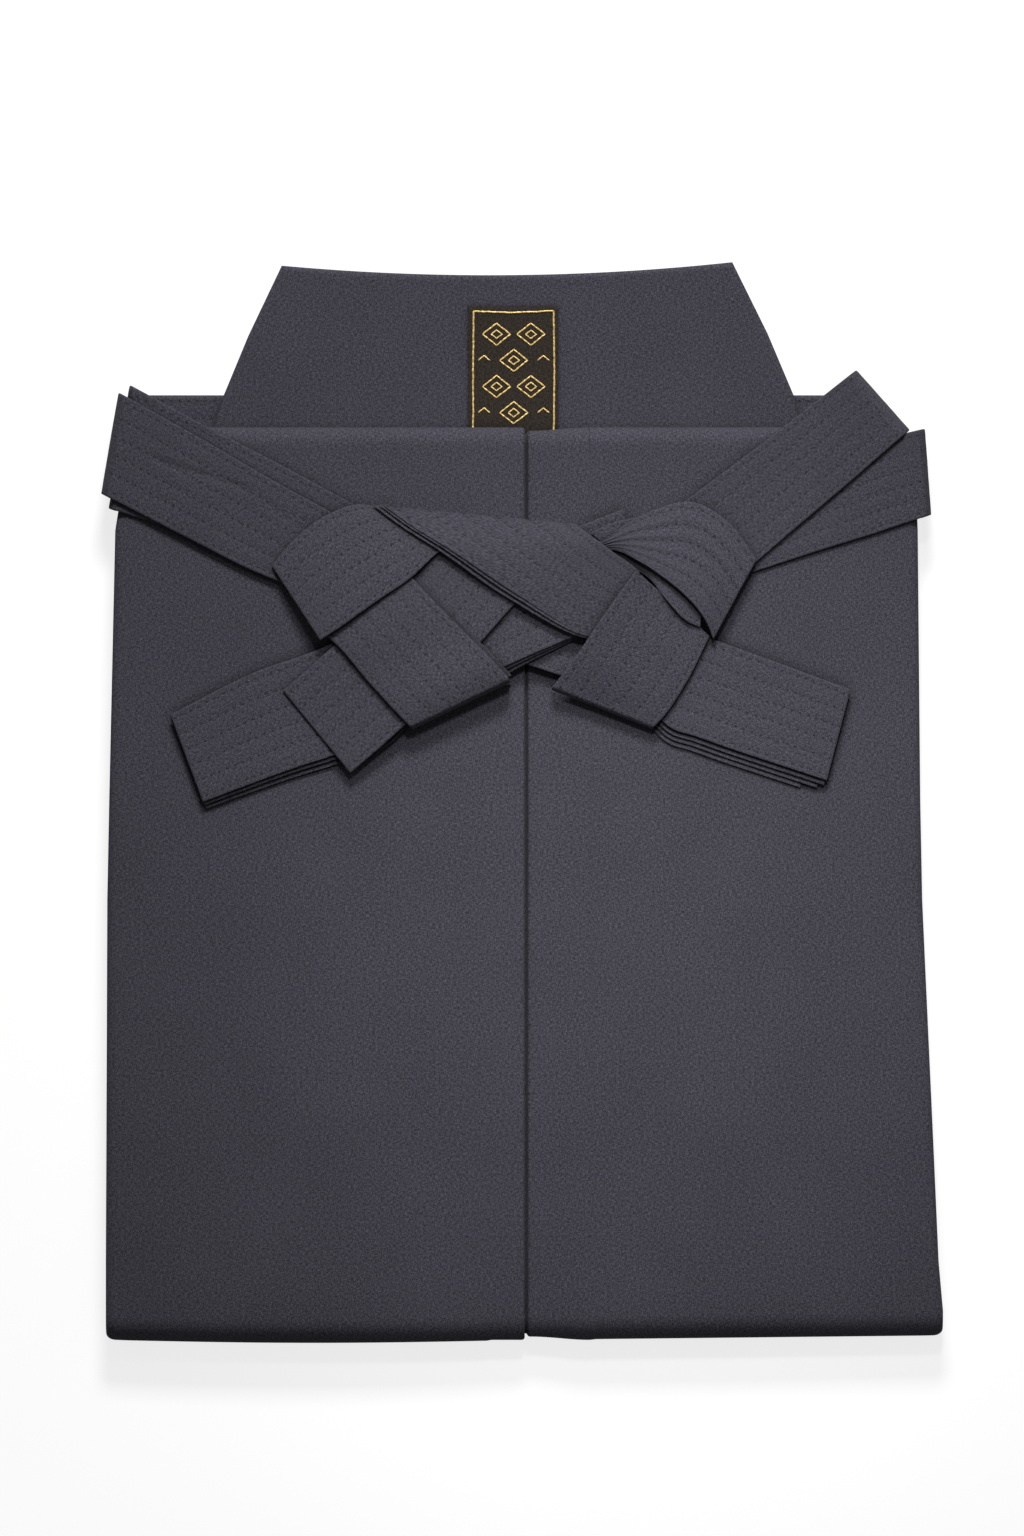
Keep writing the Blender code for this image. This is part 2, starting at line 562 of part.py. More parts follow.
def curve_rows(rows, steps):
    """Rows read from a smooth curve through the table's rows, paced by the way between their middles."""
    middles = [Vector((r.upper_x + r.lower_x, r.upper_y + r.lower_y)) / 2 for r in rows]
    ways = [(b - a).length for a, b in zip(middles, middles[1:])]
    slopes = [[(b - a) / way for a, b in zip(near, far)] for near, far, way in zip(rows, rows[1:], ways)]
    tangents = [slopes[0]]
    for k in range(1, len(ways)):
        share = ways[k - 1] / (ways[k - 1] + ways[k])
        tangents.append([a * (1 - share) + b * share for a, b in zip(slopes[k - 1], slopes[k])])
    tangents.append(slopes[-1])
    found = []
    for k, way in enumerate(ways):
        for step in range(steps):
            t = step / steps
            start, leave = (1 + 2 * t) * (1 - t) ** 2, t * (1 - t) ** 2 * way
            end, arrive = t * t * (3 - 2 * t), t * t * (t - 1) * way
            found.append(StrapRow(*(
                a * start + m * leave + b * end + n * arrive
                for a, b, m, n in zip(rows[k], rows[k + 1], tangents[k], tangents[k + 1]))))
    found.append(rows[-1])
    return found


def turned_rows(rows, steps, turn, lift):
    """A stretch whose last row is a fold's outermost line: it runs to the fold and turns down there."""
    edge, before = rows[-1], rows[-2]
    upper_way = Vector((edge.upper_x - before.upper_x, edge.upper_y - before.upper_y)).normalized()
    lower_way = Vector((edge.lower_x - before.lower_x, edge.lower_y - before.lower_y)).normalized()

    def shifted(inwards, share):
        upper_x, upper_y = Vector((edge.upper_x, edge.upper_y)) - upper_way * inwards
        lower_x, lower_y = Vector((edge.lower_x, edge.lower_y)) - lower_way * inwards
        upper_z = edge.upper_z - turn.upper_drop * share
        lower_z = edge.lower_z - turn.lower_drop * share
        return StrapRow(upper_x, upper_y, upper_z, lower_x, lower_y, lower_z, edge.swell)

    found = curve_rows(list(rows[:-1]) + [shifted(turn.reach + lift, 0.0)], steps)
    for k in range(1, turn.steps + 1):
        angle = math.radians(turn.degrees) * k / turn.steps
        found.append(shifted(turn.reach * (1 - math.sin(angle)) + lift, (1 - math.cos(angle)) / 2))
    return found


def plain_profile(edge_round=0.45):
    """A strap's section: share across, offset inwards, and height as a share of half the thickness."""
    top = [(0.0, 0.0, 0.35), (0.0, edge_round, 1.0), (0.33, 0.0, 1.0), (0.67, 0.0, 1.0)]
    top += [(1.0, -edge_round, 1.0), (1.0, 0.0, 0.35)]
    return top + [(share, offset, -height) for share, offset, height in reversed(top)]


def layered_profile(layers, fan):
    """A bundle's section, its layers showing as lips, each lower one further out by the fan."""
    upper, lower = [], []
    for k in range(layers):
        high = 1 - 2 * k / layers
        low = 1 - 2 * (k + 1) / layers
        grow = fan * k
        for z in (high - 0.12, low + 0.12):
            upper.append((0.0, 0.15 * k, z))
            lower.append((1.0, grow, z))
        if k < layers - 1:
            upper.append((0.0, 1.0, low))
            lower.append((1.0, grow - 0.9, low))
    ends = [(0.0, 0.5, 1.0), (0.33, 0.0, 1.0), (0.67, 0.0, 1.0), (1.0, -0.5, 1.0)]
    floor = [(1.0, fan * (layers - 1) - 0.5, -1.0), (0.67, 0.0, -1.0), (0.33, 0.0, -1.0), (0.0, 0.5, -1.0)]
    return ends + lower + floor + upper[::-1]


def strap_rings(rows, thickness, profile, scales=None):
    middles = [Vector(((r.upper_x + r.lower_x) / 2, (r.upper_y + r.lower_y) / 2,
                       (r.upper_z + r.lower_z) / 2)) for r in rows]
    normals = []
    for k, row in enumerate(rows):
        across = Vector((row.lower_x - row.upper_x, row.lower_y - row.upper_y, row.lower_z - row.upper_z))
        along = middles[min(k + 1, len(rows) - 1)] - middles[max(k - 1, 0)]
        normals.append(along.cross(across).normalized())
    facing = 1 if normals[len(rows) // 2].z > 0 else -1
    rings = []
    for k, row in enumerate(rows):
        upper = Vector((row.upper_x, row.upper_y, row.upper_z))
        lower = Vector((row.lower_x, row.lower_y, row.lower_z))
        across = (lower - upper).normalized()
        half = thickness / 2 * (scales[k] if scales else 1.0)
        ring = []
        for share, offset, height in profile:
            spot = upper.lerp(lower, share) + across * offset
            spot += normals[k] * facing * (height * half + row.swell * 4 * share * (1 - share))
            ring.append(spot)
        rings.append(ring)
    return rings


def strap(name, rows, steps=3, thickness=STRAP_THICKNESS, profile=None, ends=(None, None), taper=1.0):
    """A stretch that lies flat. Each end can be rounded off, and taper thins it towards its last row."""
    found = curve_rows(rows, steps)
    scales = [1 + (taper - 1) * smooth_step(2 * k / (len(found) - 1) - 1) for k in range(len(found))]
    for at_start, end in ((True, ends[0]), (False, ends[1])):
        if end:
            last, before = (found[0], found[1]) if at_start else (found[-1], found[-2])
            extra = []
            for share in end:
                grown = [b + (b - a) * share.out for a, b in zip(before, last)]
                extra.append(StrapRow(*grown))
            thin = [(scales[0] if at_start else scales[-1]) * share.scale for share in end]
            if at_start:
                found = extra[::-1] + found[1:]
                scales = thin[::-1] + scales[1:]
            else:
                found = found[:-1] + extra
                scales = scales[:-1] + thin
    loft(name, strap_rings(found, thickness, profile or plain_profile(), scales))


def turned_strap(name, rows, turn, steps=3):
    """A stretch that turns down at its first row."""
    found = turned_rows(list(rows)[::-1], steps, turn, STRAP_THICKNESS / 2)
    loft(name, strap_rings(found, STRAP_THICKNESS, plain_profile()))


EndShare = namedtuple("EndShare", "out scale")
BUNDLE_END = (EndShare(-0.16, 1.0), EndShare(-0.08, 0.86), EndShare(-0.02, 0.55), EndShare(0.0, 0.2))
FOLD_END = (EndShare(-0.12, 1.0), EndShare(-0.04, 0.75), EndShare(0.0, 0.3))


def left_straps():
    strap("left_front_strap_bundle", LEFT_FRONT_BUNDLE, 2, BUNDLE_THICKNESS,
          layered_profile(BUNDLE_LAYERS, 0.9), (None, BUNDLE_END))
    turned_strap("left_front_strap_run", LEFT_FRONT_RUN, LEFT_FRONT_FOLD)
    turned_strap("left_back_strap_run", LEFT_BACK_RUN, LEFT_BACK_FOLD)
    strap("left_back_strap_wrap", LEFT_BACK_WRAP, ends=(FOLD_END, None))
    turned_strap("left_back_strap_pass", LEFT_BACK_PASS[::-1], LEFT_PASS_FOLD)
    strap("left_back_strap_top", LEFT_BACK_TOP, 3, KNOT_TOP_THICKNESS, layered_profile(3, 0.7),
          (FOLD_END, None), 0.55)


def right_straps():
    strap("right_front_strap_bundle", RIGHT_FRONT_BUNDLE, 2, BUNDLE_THICKNESS,
          layered_profile(BUNDLE_LAYERS, 0.5), (None, BUNDLE_END))
    turned_strap("right_front_strap_run", RIGHT_FRONT_RUN, RIGHT_FRONT_FOLD)
    turned_strap("right_back_strap_run", RIGHT_BACK_RUN, RIGHT_BACK_FOLD)
    strap("right_back_strap_wrap_under", RIGHT_BACK_WRAP_UNDER)
    strap("right_back_strap_wrap_over", RIGHT_BACK_WRAP_OVER, ends=(None, FOLD_END))
    turned_strap("right_back_strap_pass", RIGHT_BACK_PASS[::-1], RIGHT_PASS_FOLD)
    strap("right_back_strap_tail", RIGHT_BACK_TAIL, ends=(FOLD_END, None))


def main():
    clear_scene()
    folded_legs()
    back_panels()
    koshi_ita()
    label_patch()
    back_strap_roots()
    left_straps()
    right_straps()


main()
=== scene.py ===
# %% [markdown]
# # A formally folded hakama, laid flat
#
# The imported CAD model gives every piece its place. It is plain and coarse, so this lesson sews a detailed
# cloth piece over each of its solids: walls of cloth with rounded folds, quilted straps with sunken
# stitches, loose layers that show at the edges, and a label worked in gold thread.
#
# Every piece is made from the same named sizes and short tables as the CAD, read more finely. That way it
# lands on its solid without any fitting by eye.

import json
import math
from collections import namedtuple

import bmesh
import bpy
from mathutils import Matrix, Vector, noise

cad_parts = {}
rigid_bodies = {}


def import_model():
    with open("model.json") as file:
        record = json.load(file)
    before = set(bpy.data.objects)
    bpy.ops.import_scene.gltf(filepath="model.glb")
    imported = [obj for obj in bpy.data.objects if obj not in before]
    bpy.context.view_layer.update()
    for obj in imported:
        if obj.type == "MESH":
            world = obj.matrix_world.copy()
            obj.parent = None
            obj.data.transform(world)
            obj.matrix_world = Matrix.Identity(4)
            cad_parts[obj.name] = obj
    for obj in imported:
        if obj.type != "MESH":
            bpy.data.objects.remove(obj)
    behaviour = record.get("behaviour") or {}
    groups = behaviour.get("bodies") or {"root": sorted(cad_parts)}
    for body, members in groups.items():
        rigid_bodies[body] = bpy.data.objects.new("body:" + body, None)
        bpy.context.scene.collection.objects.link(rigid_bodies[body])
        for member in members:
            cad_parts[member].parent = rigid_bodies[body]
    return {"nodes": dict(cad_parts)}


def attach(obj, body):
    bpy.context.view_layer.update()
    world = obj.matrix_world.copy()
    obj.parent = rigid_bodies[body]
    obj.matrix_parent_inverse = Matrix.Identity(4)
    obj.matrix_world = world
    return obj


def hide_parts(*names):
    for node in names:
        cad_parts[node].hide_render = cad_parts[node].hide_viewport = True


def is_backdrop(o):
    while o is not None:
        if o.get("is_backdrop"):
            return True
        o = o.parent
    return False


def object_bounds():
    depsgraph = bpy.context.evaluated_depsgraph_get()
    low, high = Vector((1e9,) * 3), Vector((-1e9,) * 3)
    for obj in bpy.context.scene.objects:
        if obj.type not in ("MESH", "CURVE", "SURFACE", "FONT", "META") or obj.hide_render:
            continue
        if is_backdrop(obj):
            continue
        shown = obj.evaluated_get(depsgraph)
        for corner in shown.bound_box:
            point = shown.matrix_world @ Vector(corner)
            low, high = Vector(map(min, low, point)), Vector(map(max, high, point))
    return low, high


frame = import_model()
CAD_LOW, CAD_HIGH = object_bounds()
print("packed solids:", len(frame["nodes"]))

# %% [markdown]
# ## Sizes of the folded garment
#
# Sizes are in millimetres until a mesh is made. X runs across the garment, Y from the folded bottom edge
# towards the stiff back board, Z up from the table. The garment is folded in three: the waist third lies
# lowest, and the other two thirds are folded over it, so the stack is 18 mm high with one fold at each end.

# %% Name the sizes
MM = 0.001
MIDDLE = Vector((-0.5, -0.07, 0.0))

WALL = 1.0
SEAM_GAP = 0.3
LAYER_STEP = WALL + SEAM_GAP
STRAP_THICKNESS = 1.3
BUNDLE_THICKNESS = 3.6
KNOT_TOP_THICKNESS = 2.4
STRAP_WIDTH = 40.0

STACK_HEIGHT = 18.0
UPPER_FOLD_BASE = 6.2
SIDE_LIP_HEIGHT = 5.6
SIDE_LIP_REACH = 4.0
SIDE_TUCK = 6.0
SIDE_NOTCH_TOP = STACK_HEIGHT - SIDE_LIP_HEIGHT + LAYER_STEP
TOP_FOLD_Y, TOP_FOLD_REACH = 150.0, 7.0
BOTTOM_FOLD_Y, BOTTOM_FOLD_REACH = -215.6, 10.0
BOTTOM_LEFT_SAG, BOTTOM_RIGHT_RISE = 1.2, 1.8
WAIST_END_Y = 144.5

PLEAT_X = 0.6
PLEAT_TURN = 1.2
PLEAT_DEPTH = 3 * LAYER_STEP + 0.5
LEFT_FLAP = 22.0
RIGHT_RISE_START, RIGHT_RISE_END = 3.0, 26.0
CROWN_START_Y, CROWN_FULL_Y = -5.0, -80.0
LEFT_CROWN_X, LEFT_CROWN_HALF, LEFT_CROWN_DROP = -85.0, 80.0, 0.9
PLEAT_CROWN_WIDTH = 30.0
CREASE_X, CREASE_SLOPE = 79.6, 0.013

BOARD_BASE_Y = WAIST_END_Y + SEAM_GAP
BOARD_BASE_THICKNESS, BOARD_TOP_THICKNESS = 4.4, 3.6
BOARD_TOP_LEFT_Y, BOARD_TOP_DIP_Y, BOARD_TOP_RIGHT_Y = 215.2, 211.4, 216.6
LABEL_LEFT, LABEL_RIGHT, LABEL_TOP_Y, LABEL_THICKNESS = -22.0, 14.0, 198.8, 0.8
ROOT_THICKNESS, ROOT_TOP_Y = 2.0, 163.2
LEFT_ROOT_END_X, RIGHT_ROOT_END_X = -158.0, 142.0

SideEdge = namedtuple("SideEdge", "y left right")
SIDE_EDGES = (
    SideEdge(150.0, -153.0, 146.5),
    SideEdge(143.0, -155.0, 150.5),
    SideEdge(132.8, -158.5, 156.4),
    SideEdge(118.8, -161.6, 157.6),
    SideEdge(108.8, -163.2, 158.0),
    SideEdge(0.8, -165.6, 159.0),
    SideEdge(-39.2, -166.4, 159.8),
    SideEdge(-139.2, -166.8, 164.4),
    SideEdge(-184.0, -167.0, 166.4),
    SideEdge(-215.6, -167.0, 169.2),
)
BoardSide = namedtuple("BoardSide", "share left right")
BOARD_SIDES = (
    BoardSide(0.00, -126.0, 113.0),
    BoardSide(0.25, -120.4, 108.8),
    BoardSide(0.60, -110.2, 98.2),
    BoardSide(1.00, -96.8, 84.0),
)
print("stack", STACK_HEIGHT, "mm high, strap", STRAP_WIDTH, "mm wide")

# %% [markdown]
# ## The straps' ways
#
# Four straps are folded and woven over each other. Each stretch that shows is a short table. A row
# crosses the strap from its upper to its lower edge, with the height of each, and swell says how far the
# strap's middle stands above the line between them.

# %% Lay out the left straps
StrapRow = namedtuple("StrapRow", "upper_x upper_y upper_z lower_x lower_y lower_z swell")
LEFT_FRONT_RUN = (
    StrapRow(-157.5, 167.0, 18.95, -166.0, 117.5, 18.95, 0.0),
    StrapRow(-129.0, 151.5, 18.95, -139.0, 109.0, 18.95, 0.0),
    StrapRow(-97.0, 135.0, 18.95, -108.0, 99.0, 18.95, 0.0),
    StrapRow(-68.5, 119.5, 18.95, -82.0, 92.0, 18.95, 0.0),
    StrapRow(-51.0, 110.0, 18.95, -66.0, 86.0, 18.95, 0.0),
)
LEFT_BACK_RUN = (
    StrapRow(-162.0, 164.0, 20.60, -169.0, 123.5, 20.60, 0.0),
    StrapRow(-129.0, 145.5, 20.60, -137.0, 107.0, 20.60, 0.0),
    StrapRow(-97.0, 127.0, 20.60, -106.0, 91.5, 20.60, 0.0),
    StrapRow(-77.0, 116.0, 20.60, -94.0, 87.0, 20.60, 0.0),
    StrapRow(-69.0, 111.0, 20.60, -87.0, 85.0, 20.60, 0.0),
)
LEFT_BACK_WRAP = (
    StrapRow(-100.5, 94.5, 22.30, -81.0, 64.5, 27.30, 0.2),
    StrapRow(-93.0, 103.5, 22.30, -74.0, 69.0, 28.20, 0.8),
    StrapRow(-77.0, 115.5, 22.30, -57.0, 81.0, 29.20, 0.8),
    StrapRow(-66.0, 119.0, 22.10, -44.0, 90.0, 29.40, 0.6),
    StrapRow(-59.0, 118.5, 21.90, -34.5, 99.0, 28.30, 0.2),
    StrapRow(-54.0, 119.0, 22.00, -31.5, 101.0, 28.20, 0.0),
)
LEFT_BACK_PASS = (
    StrapRow(-79.5, 67.0, 24.40, -46.5, 92.5, 26.90, 0.2),
    StrapRow(-77.0, 65.0, 25.30, -44.5, 90.0, 27.80, 0.4),
    StrapRow(-61.0, 47.0, 26.90, -24.5, 69.0, 29.40, 0.5),
    StrapRow(-47.0, 32.0, 27.20, -8.0, 52.0, 28.60, 0.3),
    StrapRow(-44.0, 29.0, 26.90, -4.5, 48.0, 28.00, 0.0),
)
LEFT_BACK_TOP = (
    StrapRow(21.0, 111.0, 27.20, -59.0, 118.5, 24.50, 0.0),
    StrapRow(23.5, 109.0, 28.30, -49.0, 111.0, 27.00, 0.0),
    StrapRow(29.0, 105.0, 29.90, -32.0, 100.0, 30.40, 0.0),
    StrapRow(37.0, 99.0, 30.10, -5.0, 81.0, 30.30, 0.2),
    StrapRow(44.5, 93.7, 29.40, 21.0, 65.0, 28.20, 0.0),
    StrapRow(46.5, 92.0, 29.00, 24.5, 64.0, 27.70, 0.0),
)
LEFT_FRONT_BUNDLE = (
    StrapRow(-12.0, 96.8, 20.10, -22.0, 63.0, 20.10, 0.0),
    StrapRow(8.0, 89.5, 20.10, -2.5, 54.8, 20.10, 0.0),
    StrapRow(22.0, 84.5, 20.10, 12.0, 49.8, 20.10, 0.0),
    StrapRow(60.0, 70.8, 20.10, 51.0, 35.2, 20.10, 0.0),
    StrapRow(66.0, 68.6, 20.10, 57.0, 29.2, 20.10, 0.0),
    StrapRow(83.0, 62.5, 20.10, 69.0, 24.5, 20.10, 0.0),
    StrapRow(131.0, 45.0, 20.10, 121.0, 7.0, 20.10, 0.0),
)
print("left strap stretches:", 6)

# %% Lay out the right straps
RIGHT_BACK_RUN = (
    StrapRow(133.5, 173.0, 20.60, 155.0, 149.0, 20.60, 0.0),
    StrapRow(101.0, 147.5, 20.60, 125.0, 123.0, 20.60, 0.0),
    StrapRow(77.0, 129.5, 20.60, 105.0, 106.0, 20.60, 0.0),
    StrapRow(67.0, 122.0, 20.60, 94.0, 96.5, 20.60, 0.0),
    StrapRow(59.5, 116.5, 20.60, 86.0, 89.5, 20.60, 0.0),
)
RIGHT_BACK_PASS = (
    StrapRow(45.0, 92.6, 30.80, 74.6, 66.2, 23.80, -1.4),
    StrapRow(31.0, 73.0, 31.00, 65.5, 48.0, 23.60, 0.0),
    StrapRow(19.5, 56.0, 27.60, 57.0, 35.0, 23.50, 0.4),
    StrapRow(11.0, 45.0, 24.40, 51.5, 29.0, 23.20, 0.0),
)
RIGHT_BACK_WRAP_UNDER = (
    StrapRow(27.0, 107.5, 25.90, 43.5, 93.5, 26.10, 0.0),
    StrapRow(35.5, 111.5, 25.00, 50.0, 89.5, 26.80, 0.0),
    StrapRow(47.0, 114.0, 23.40, 56.2, 81.8, 28.00, 0.4),
    StrapRow(65.0, 117.0, 22.30, 64.9, 72.4, 26.80, 0.6),
    StrapRow(74.0, 110.5, 22.30, 70.6, 69.6, 25.20, 0.4),
)
RIGHT_BACK_WRAP_OVER = (
    StrapRow(27.5, 103.0, 27.60, 32.0, 99.5, 27.60, 0.0),
    StrapRow(32.5, 105.0, 27.60, 36.0, 100.5, 27.70, 0.0),
    StrapRow(41.0, 111.0, 26.80, 47.0, 95.5, 29.60, 0.0),
    StrapRow(51.0, 116.0, 25.40, 58.0, 88.0, 29.80, 0.4),
    StrapRow(67.0, 120.0, 24.10, 67.5, 79.5, 28.80, 0.6),
    StrapRow(82.0, 112.0, 23.80, 73.0, 72.0, 27.20, 0.4),
    StrapRow(93.5, 97.0, 22.60, 76.0, 65.0, 25.40, 0.0),
)
RIGHT_BACK_TAIL = (
    StrapRow(-96.0, 44.5, 22.60, -69.0, 11.5, 22.80, 0.0),
    StrapRow(-75.0, 63.0, 23.80, -48.0, 30.0, 25.20, 0.2),
    StrapRow(-60.5, 76.0, 25.40, -31.0, 47.5, 27.00, 0.6),
    StrapRow(-45.0, 88.5, 26.20, -17.0, 63.5, 27.60, 0.6),
    StrapRow(-33.0, 100.0, 26.20, -3.0, 79.5, 27.60, 0.4),
    StrapRow(-28.5, 103.0, 26.20, 1.0, 84.0, 27.60, 0.3),
)
RIGHT_FRONT_RUN = (
    StrapRow(161.0, 149.5, 18.95, 163.5, 115.0, 18.95, 0.0),
    StrapRow(143.0, 145.0, 18.95, 141.0, 107.5, 18.95, 0.0),
    StrapRow(119.0, 135.0, 18.95, 117.0, 100.0, 18.95, 0.0),
    StrapRow(97.0, 125.0, 18.95, 95.5, 93.0, 18.95, 0.0),
    StrapRow(79.0, 119.5, 18.95, 79.5, 88.0, 18.95, 0.0),
)
RIGHT_FRONT_BUNDLE = (
    StrapRow(40.0, 117.0, 21.30, 50.0, 75.5, 24.10, 0.0),
    StrapRow(27.0, 112.0, 22.60, 39.0, 71.0, 24.10, 0.0),
    StrapRow(5.0, 103.0, 24.10, 21.0, 63.5, 24.10, 0.0),
    StrapRow(-14.0, 94.7, 24.10, 0.0, 54.5, 24.10, 0.0),
    StrapRow(-27.0, 89.0, 24.10, -9.5, 50.2, 24.10, 0.0),
    StrapRow(-45.0, 79.0, 23.40, -27.5, 44.5, 23.40, 0.0),
    StrapRow(-60.0, 71.0, 22.00, -45.5, 34.0, 22.00, 0.0),
    StrapRow(-67.0, 67.5, 21.40, -51.5, 26.5, 21.40, 0.0),
    StrapRow(-87.0, 59.0, 20.30, -71.0, 17.5, 20.30, 0.0),
    StrapRow(-104.5, 53.0, 20.10, -90.5, 11.0, 20.10, 0.0),
    StrapRow(-141.0, 35.0, 20.10, -127.0, -2.5, 20.10, 0.0),
)
print("right strap stretches:", 7)

# %% [markdown]
# ## Weave, tone and stitches as shader groups
#
# The hakama is one charcoal cloth throughout: a fine twill, matte, with a faint sheen. Its weave could be
# a picture, but a picture repeats and blurs. Here it is worked out from the cloth's own flat coordinates,
# which every piece carries in metres as a UV map, so the threads turn with each strap as real ones do.
#
# Three effects are wanted by several materials, so each is a group with named sockets: the weave, the dye's
# uneven tone and fibres with the painted shade of close folds, and the painted shade in sunken stitches' pits.
# The nodes could be laid out again in each material, but then a change in one would have to be made in all.

# %% Make the group helper
def new_group(name, inputs, outputs):
    """An empty shader group with named value, colour and vector sockets."""
    group = bpy.data.node_groups.new(name, "ShaderNodeTree")
    for label, kind, start in inputs:
        socket = group.interface.new_socket(label, in_out="INPUT", socket_type="NodeSocket" + kind)
        if start is not None:
            socket.default_value = start
    for label, kind in outputs:
        group.interface.new_socket(label, in_out="OUTPUT", socket_type="NodeSocket" + kind)
    return group, group.nodes.new("NodeGroupInput"), group.nodes.new("NodeGroupOutput")


def sums(group, kind, *values):
    """A maths node fed with numbers or with other nodes' sockets."""
    node = group.nodes.new("ShaderNodeMath")
    node.operation = kind
    for socket, value in zip(node.inputs, values):
        if isinstance(value, (int, float)):
            socket.default_value = value
        else:
            group.links.new(value, socket)
    return node.outputs[0]


print("helpers for shader groups: 2")

# %% Weave the twill
TWILL_PITCH = 0.9 * MM
TWILL_WAVE, WARP_WAVE = 6.2832, 18.85
SLUB_SCALE = 900.0


def twill_group():
    group, given, out = new_group(
        "twill weave",
        [("Cloth place", "Vector", None), ("Thread pitch", "Float", TWILL_PITCH)],
        [("Height", "Float"), ("Thread", "Float")],
    )
    apart = group.nodes.new("ShaderNodeSeparateXYZ")
    group.links.new(given.outputs["Cloth place"], apart.inputs[0])
    pitch = given.outputs["Thread pitch"]
    along = sums(group, "DIVIDE", apart.outputs[0], pitch)
    across = sums(group, "DIVIDE", apart.outputs[1], pitch)
    twill = sums(group, "SINE", sums(group, "MULTIPLY", sums(group, "ADD", along, across), TWILL_WAVE))
    warp = sums(group, "SINE", sums(group, "MULTIPLY", across, WARP_WAVE))
    height = sums(group, "MULTIPLY_ADD", twill, 0.32, 0.5)
    height = sums(group, "MULTIPLY_ADD", warp, 0.12, height)
    slub = group.nodes.new("ShaderNodeTexNoise")
    slub.inputs["Scale"].default_value = SLUB_SCALE
    slub.inputs["Detail"].default_value = 3.0
    group.links.new(given.outputs["Cloth place"], slub.inputs["Vector"])
    height = sums(group, "MULTIPLY_ADD", sums(group, "SUBTRACT", slub.outputs[0], 0.5), 0.9, height)
    group.links.new(height, out.inputs["Height"])
    group.links.new(twill, out.inputs["Thread"])
    return group


TWILL = twill_group()
print("twill pitch", TWILL_PITCH / MM, "mm")

# %% Let the dye vary, and paint shade into pits and close folds
CLOUD_SCALE, CLOUD_STRENGTH = 26.0, 0.24
FIBRE_SCALE, FIBRE_STRENGTH = 2100.0, 3.2
DARKEST_SHADE = 0.55
# painted shade in the stitch pits: how much the pit mask darkens the colour
PIT_SHADE_DARKENING = -0.9
# painted shade of close folds: the colour keeps OPEN_SHARE plus SHUT_SHARE of itself where a spot is open, and
# SHUT_SHARE where it is shut in
OPEN_SHARE, SHUT_SHARE = 0.9, 0.1


def dye_and_shade_group():
    group, given, out = new_group(
        "uneven dye and painted shade",
        [("Cloth place", "Vector", None), ("Dye", "Color", (0.05, 0.05, 0.06, 1)), ("Thread", "Float", 0.0),
         ("Pit shade", "Float", 0.0), ("Openness", "Float", 1.0)],
        [("Color", "Color"), ("Roughness", "Float")],
    )
    clouds = group.nodes.new("ShaderNodeTexNoise")
    clouds.inputs["Scale"].default_value = CLOUD_SCALE
    clouds.inputs["Detail"].default_value = 2.0
    group.links.new(given.outputs["Cloth place"], clouds.inputs["Vector"])
    fibres = []
    for squeeze in ((0.4, 1.0, 1.0), (1.0, 0.4, 1.0)):
        threads = group.nodes.new("ShaderNodeTexNoise")
        threads.inputs["Scale"].default_value = FIBRE_SCALE
        threads.inputs["Detail"].default_value = 3.0
        threads.inputs["Roughness"].default_value = 0.65
        stretched = group.nodes.new("ShaderNodeVectorMath")
        stretched.operation = "MULTIPLY"
        stretched.inputs[1].default_value = squeeze
        group.links.new(given.outputs["Cloth place"], stretched.inputs[0])
        group.links.new(stretched.outputs[0], threads.inputs["Vector"])
        fibres.append(sums(group, "SUBTRACT", threads.outputs[0], 0.5))
    flecks = sums(group, "ADD", *fibres)
    cloudy = sums(group, "SUBTRACT", clouds.outputs[0], 0.5)
    shade = sums(group, "MULTIPLY_ADD", cloudy, CLOUD_STRENGTH, 1.0)
    shade = sums(group, "MULTIPLY_ADD", flecks, FIBRE_STRENGTH, shade)
    shade = sums(group, "MULTIPLY_ADD", given.outputs["Thread"], 0.05, shade)
    shade = sums(group, "MAXIMUM", shade, DARKEST_SHADE)
    # painted shade: the stitch-pit mask darkens the colour
    pit_shade_factor = sums(group, "MULTIPLY_ADD", given.outputs["Pit shade"], PIT_SHADE_DARKENING, 1.0)
    shade = sums(group, "MULTIPLY", shade, pit_shade_factor)
    # painted shade: close folds, as the Openness input gives them, darken the colour
    open_share = sums(group, "MULTIPLY_ADD", given.outputs["Openness"], OPEN_SHARE, SHUT_SHARE)
    shade = sums(group, "MULTIPLY", shade, open_share)
    tint = group.nodes.new("ShaderNodeVectorMath")
    tint.operation = "SCALE"
    group.links.new(given.outputs["Dye"], tint.inputs[0])
    group.links.new(shade, tint.inputs["Scale"])
    group.links.new(tint.outputs[0], out.inputs["Color"])
    group.links.new(sums(group, "MULTIPLY_ADD", flecks, 0.2, 0.84), out.inputs["Roughness"])
    return group


DYE_AND_PAINTED_SHADE = dye_and_shade_group()
print("dye varies by", CLOUD_STRENGTH / 2, "either way")

# %% [markdown]
# ## Dark pits at the stitches
#
# A running stitch sinks into the cloth, and its pit looks darker than the thread is. The pit's own hollow is
# in the mesh further down, but it is less than a millimetre wide, so soft light hardly darkens it. A mask
# worked out from the cloth's flat place paints the rest of that shade into the colour. It could be painted
# by hand, but then it would slip off the stitches as soon as their number or spacing changed. Here both read
# the same sizes.

# %% Paint shade into the stitch pits
STITCH_COLUMNS = 34
STITCH_LINES = (2, 8, 14, 20, 26, 32)
STITCH_ROWS = 3
STITCH_LENGTH = 3.5
ROW_PACE = STITCH_LENGTH / STITCH_ROWS
LINE_GAP = 6 * STRAP_WIDTH / STITCH_COLUMNS
FIRST_LINE = 2 * STRAP_WIDTH / STITCH_COLUMNS
LINE_SHARPNESS, STITCH_SHARPNESS = 13.0, 4.4
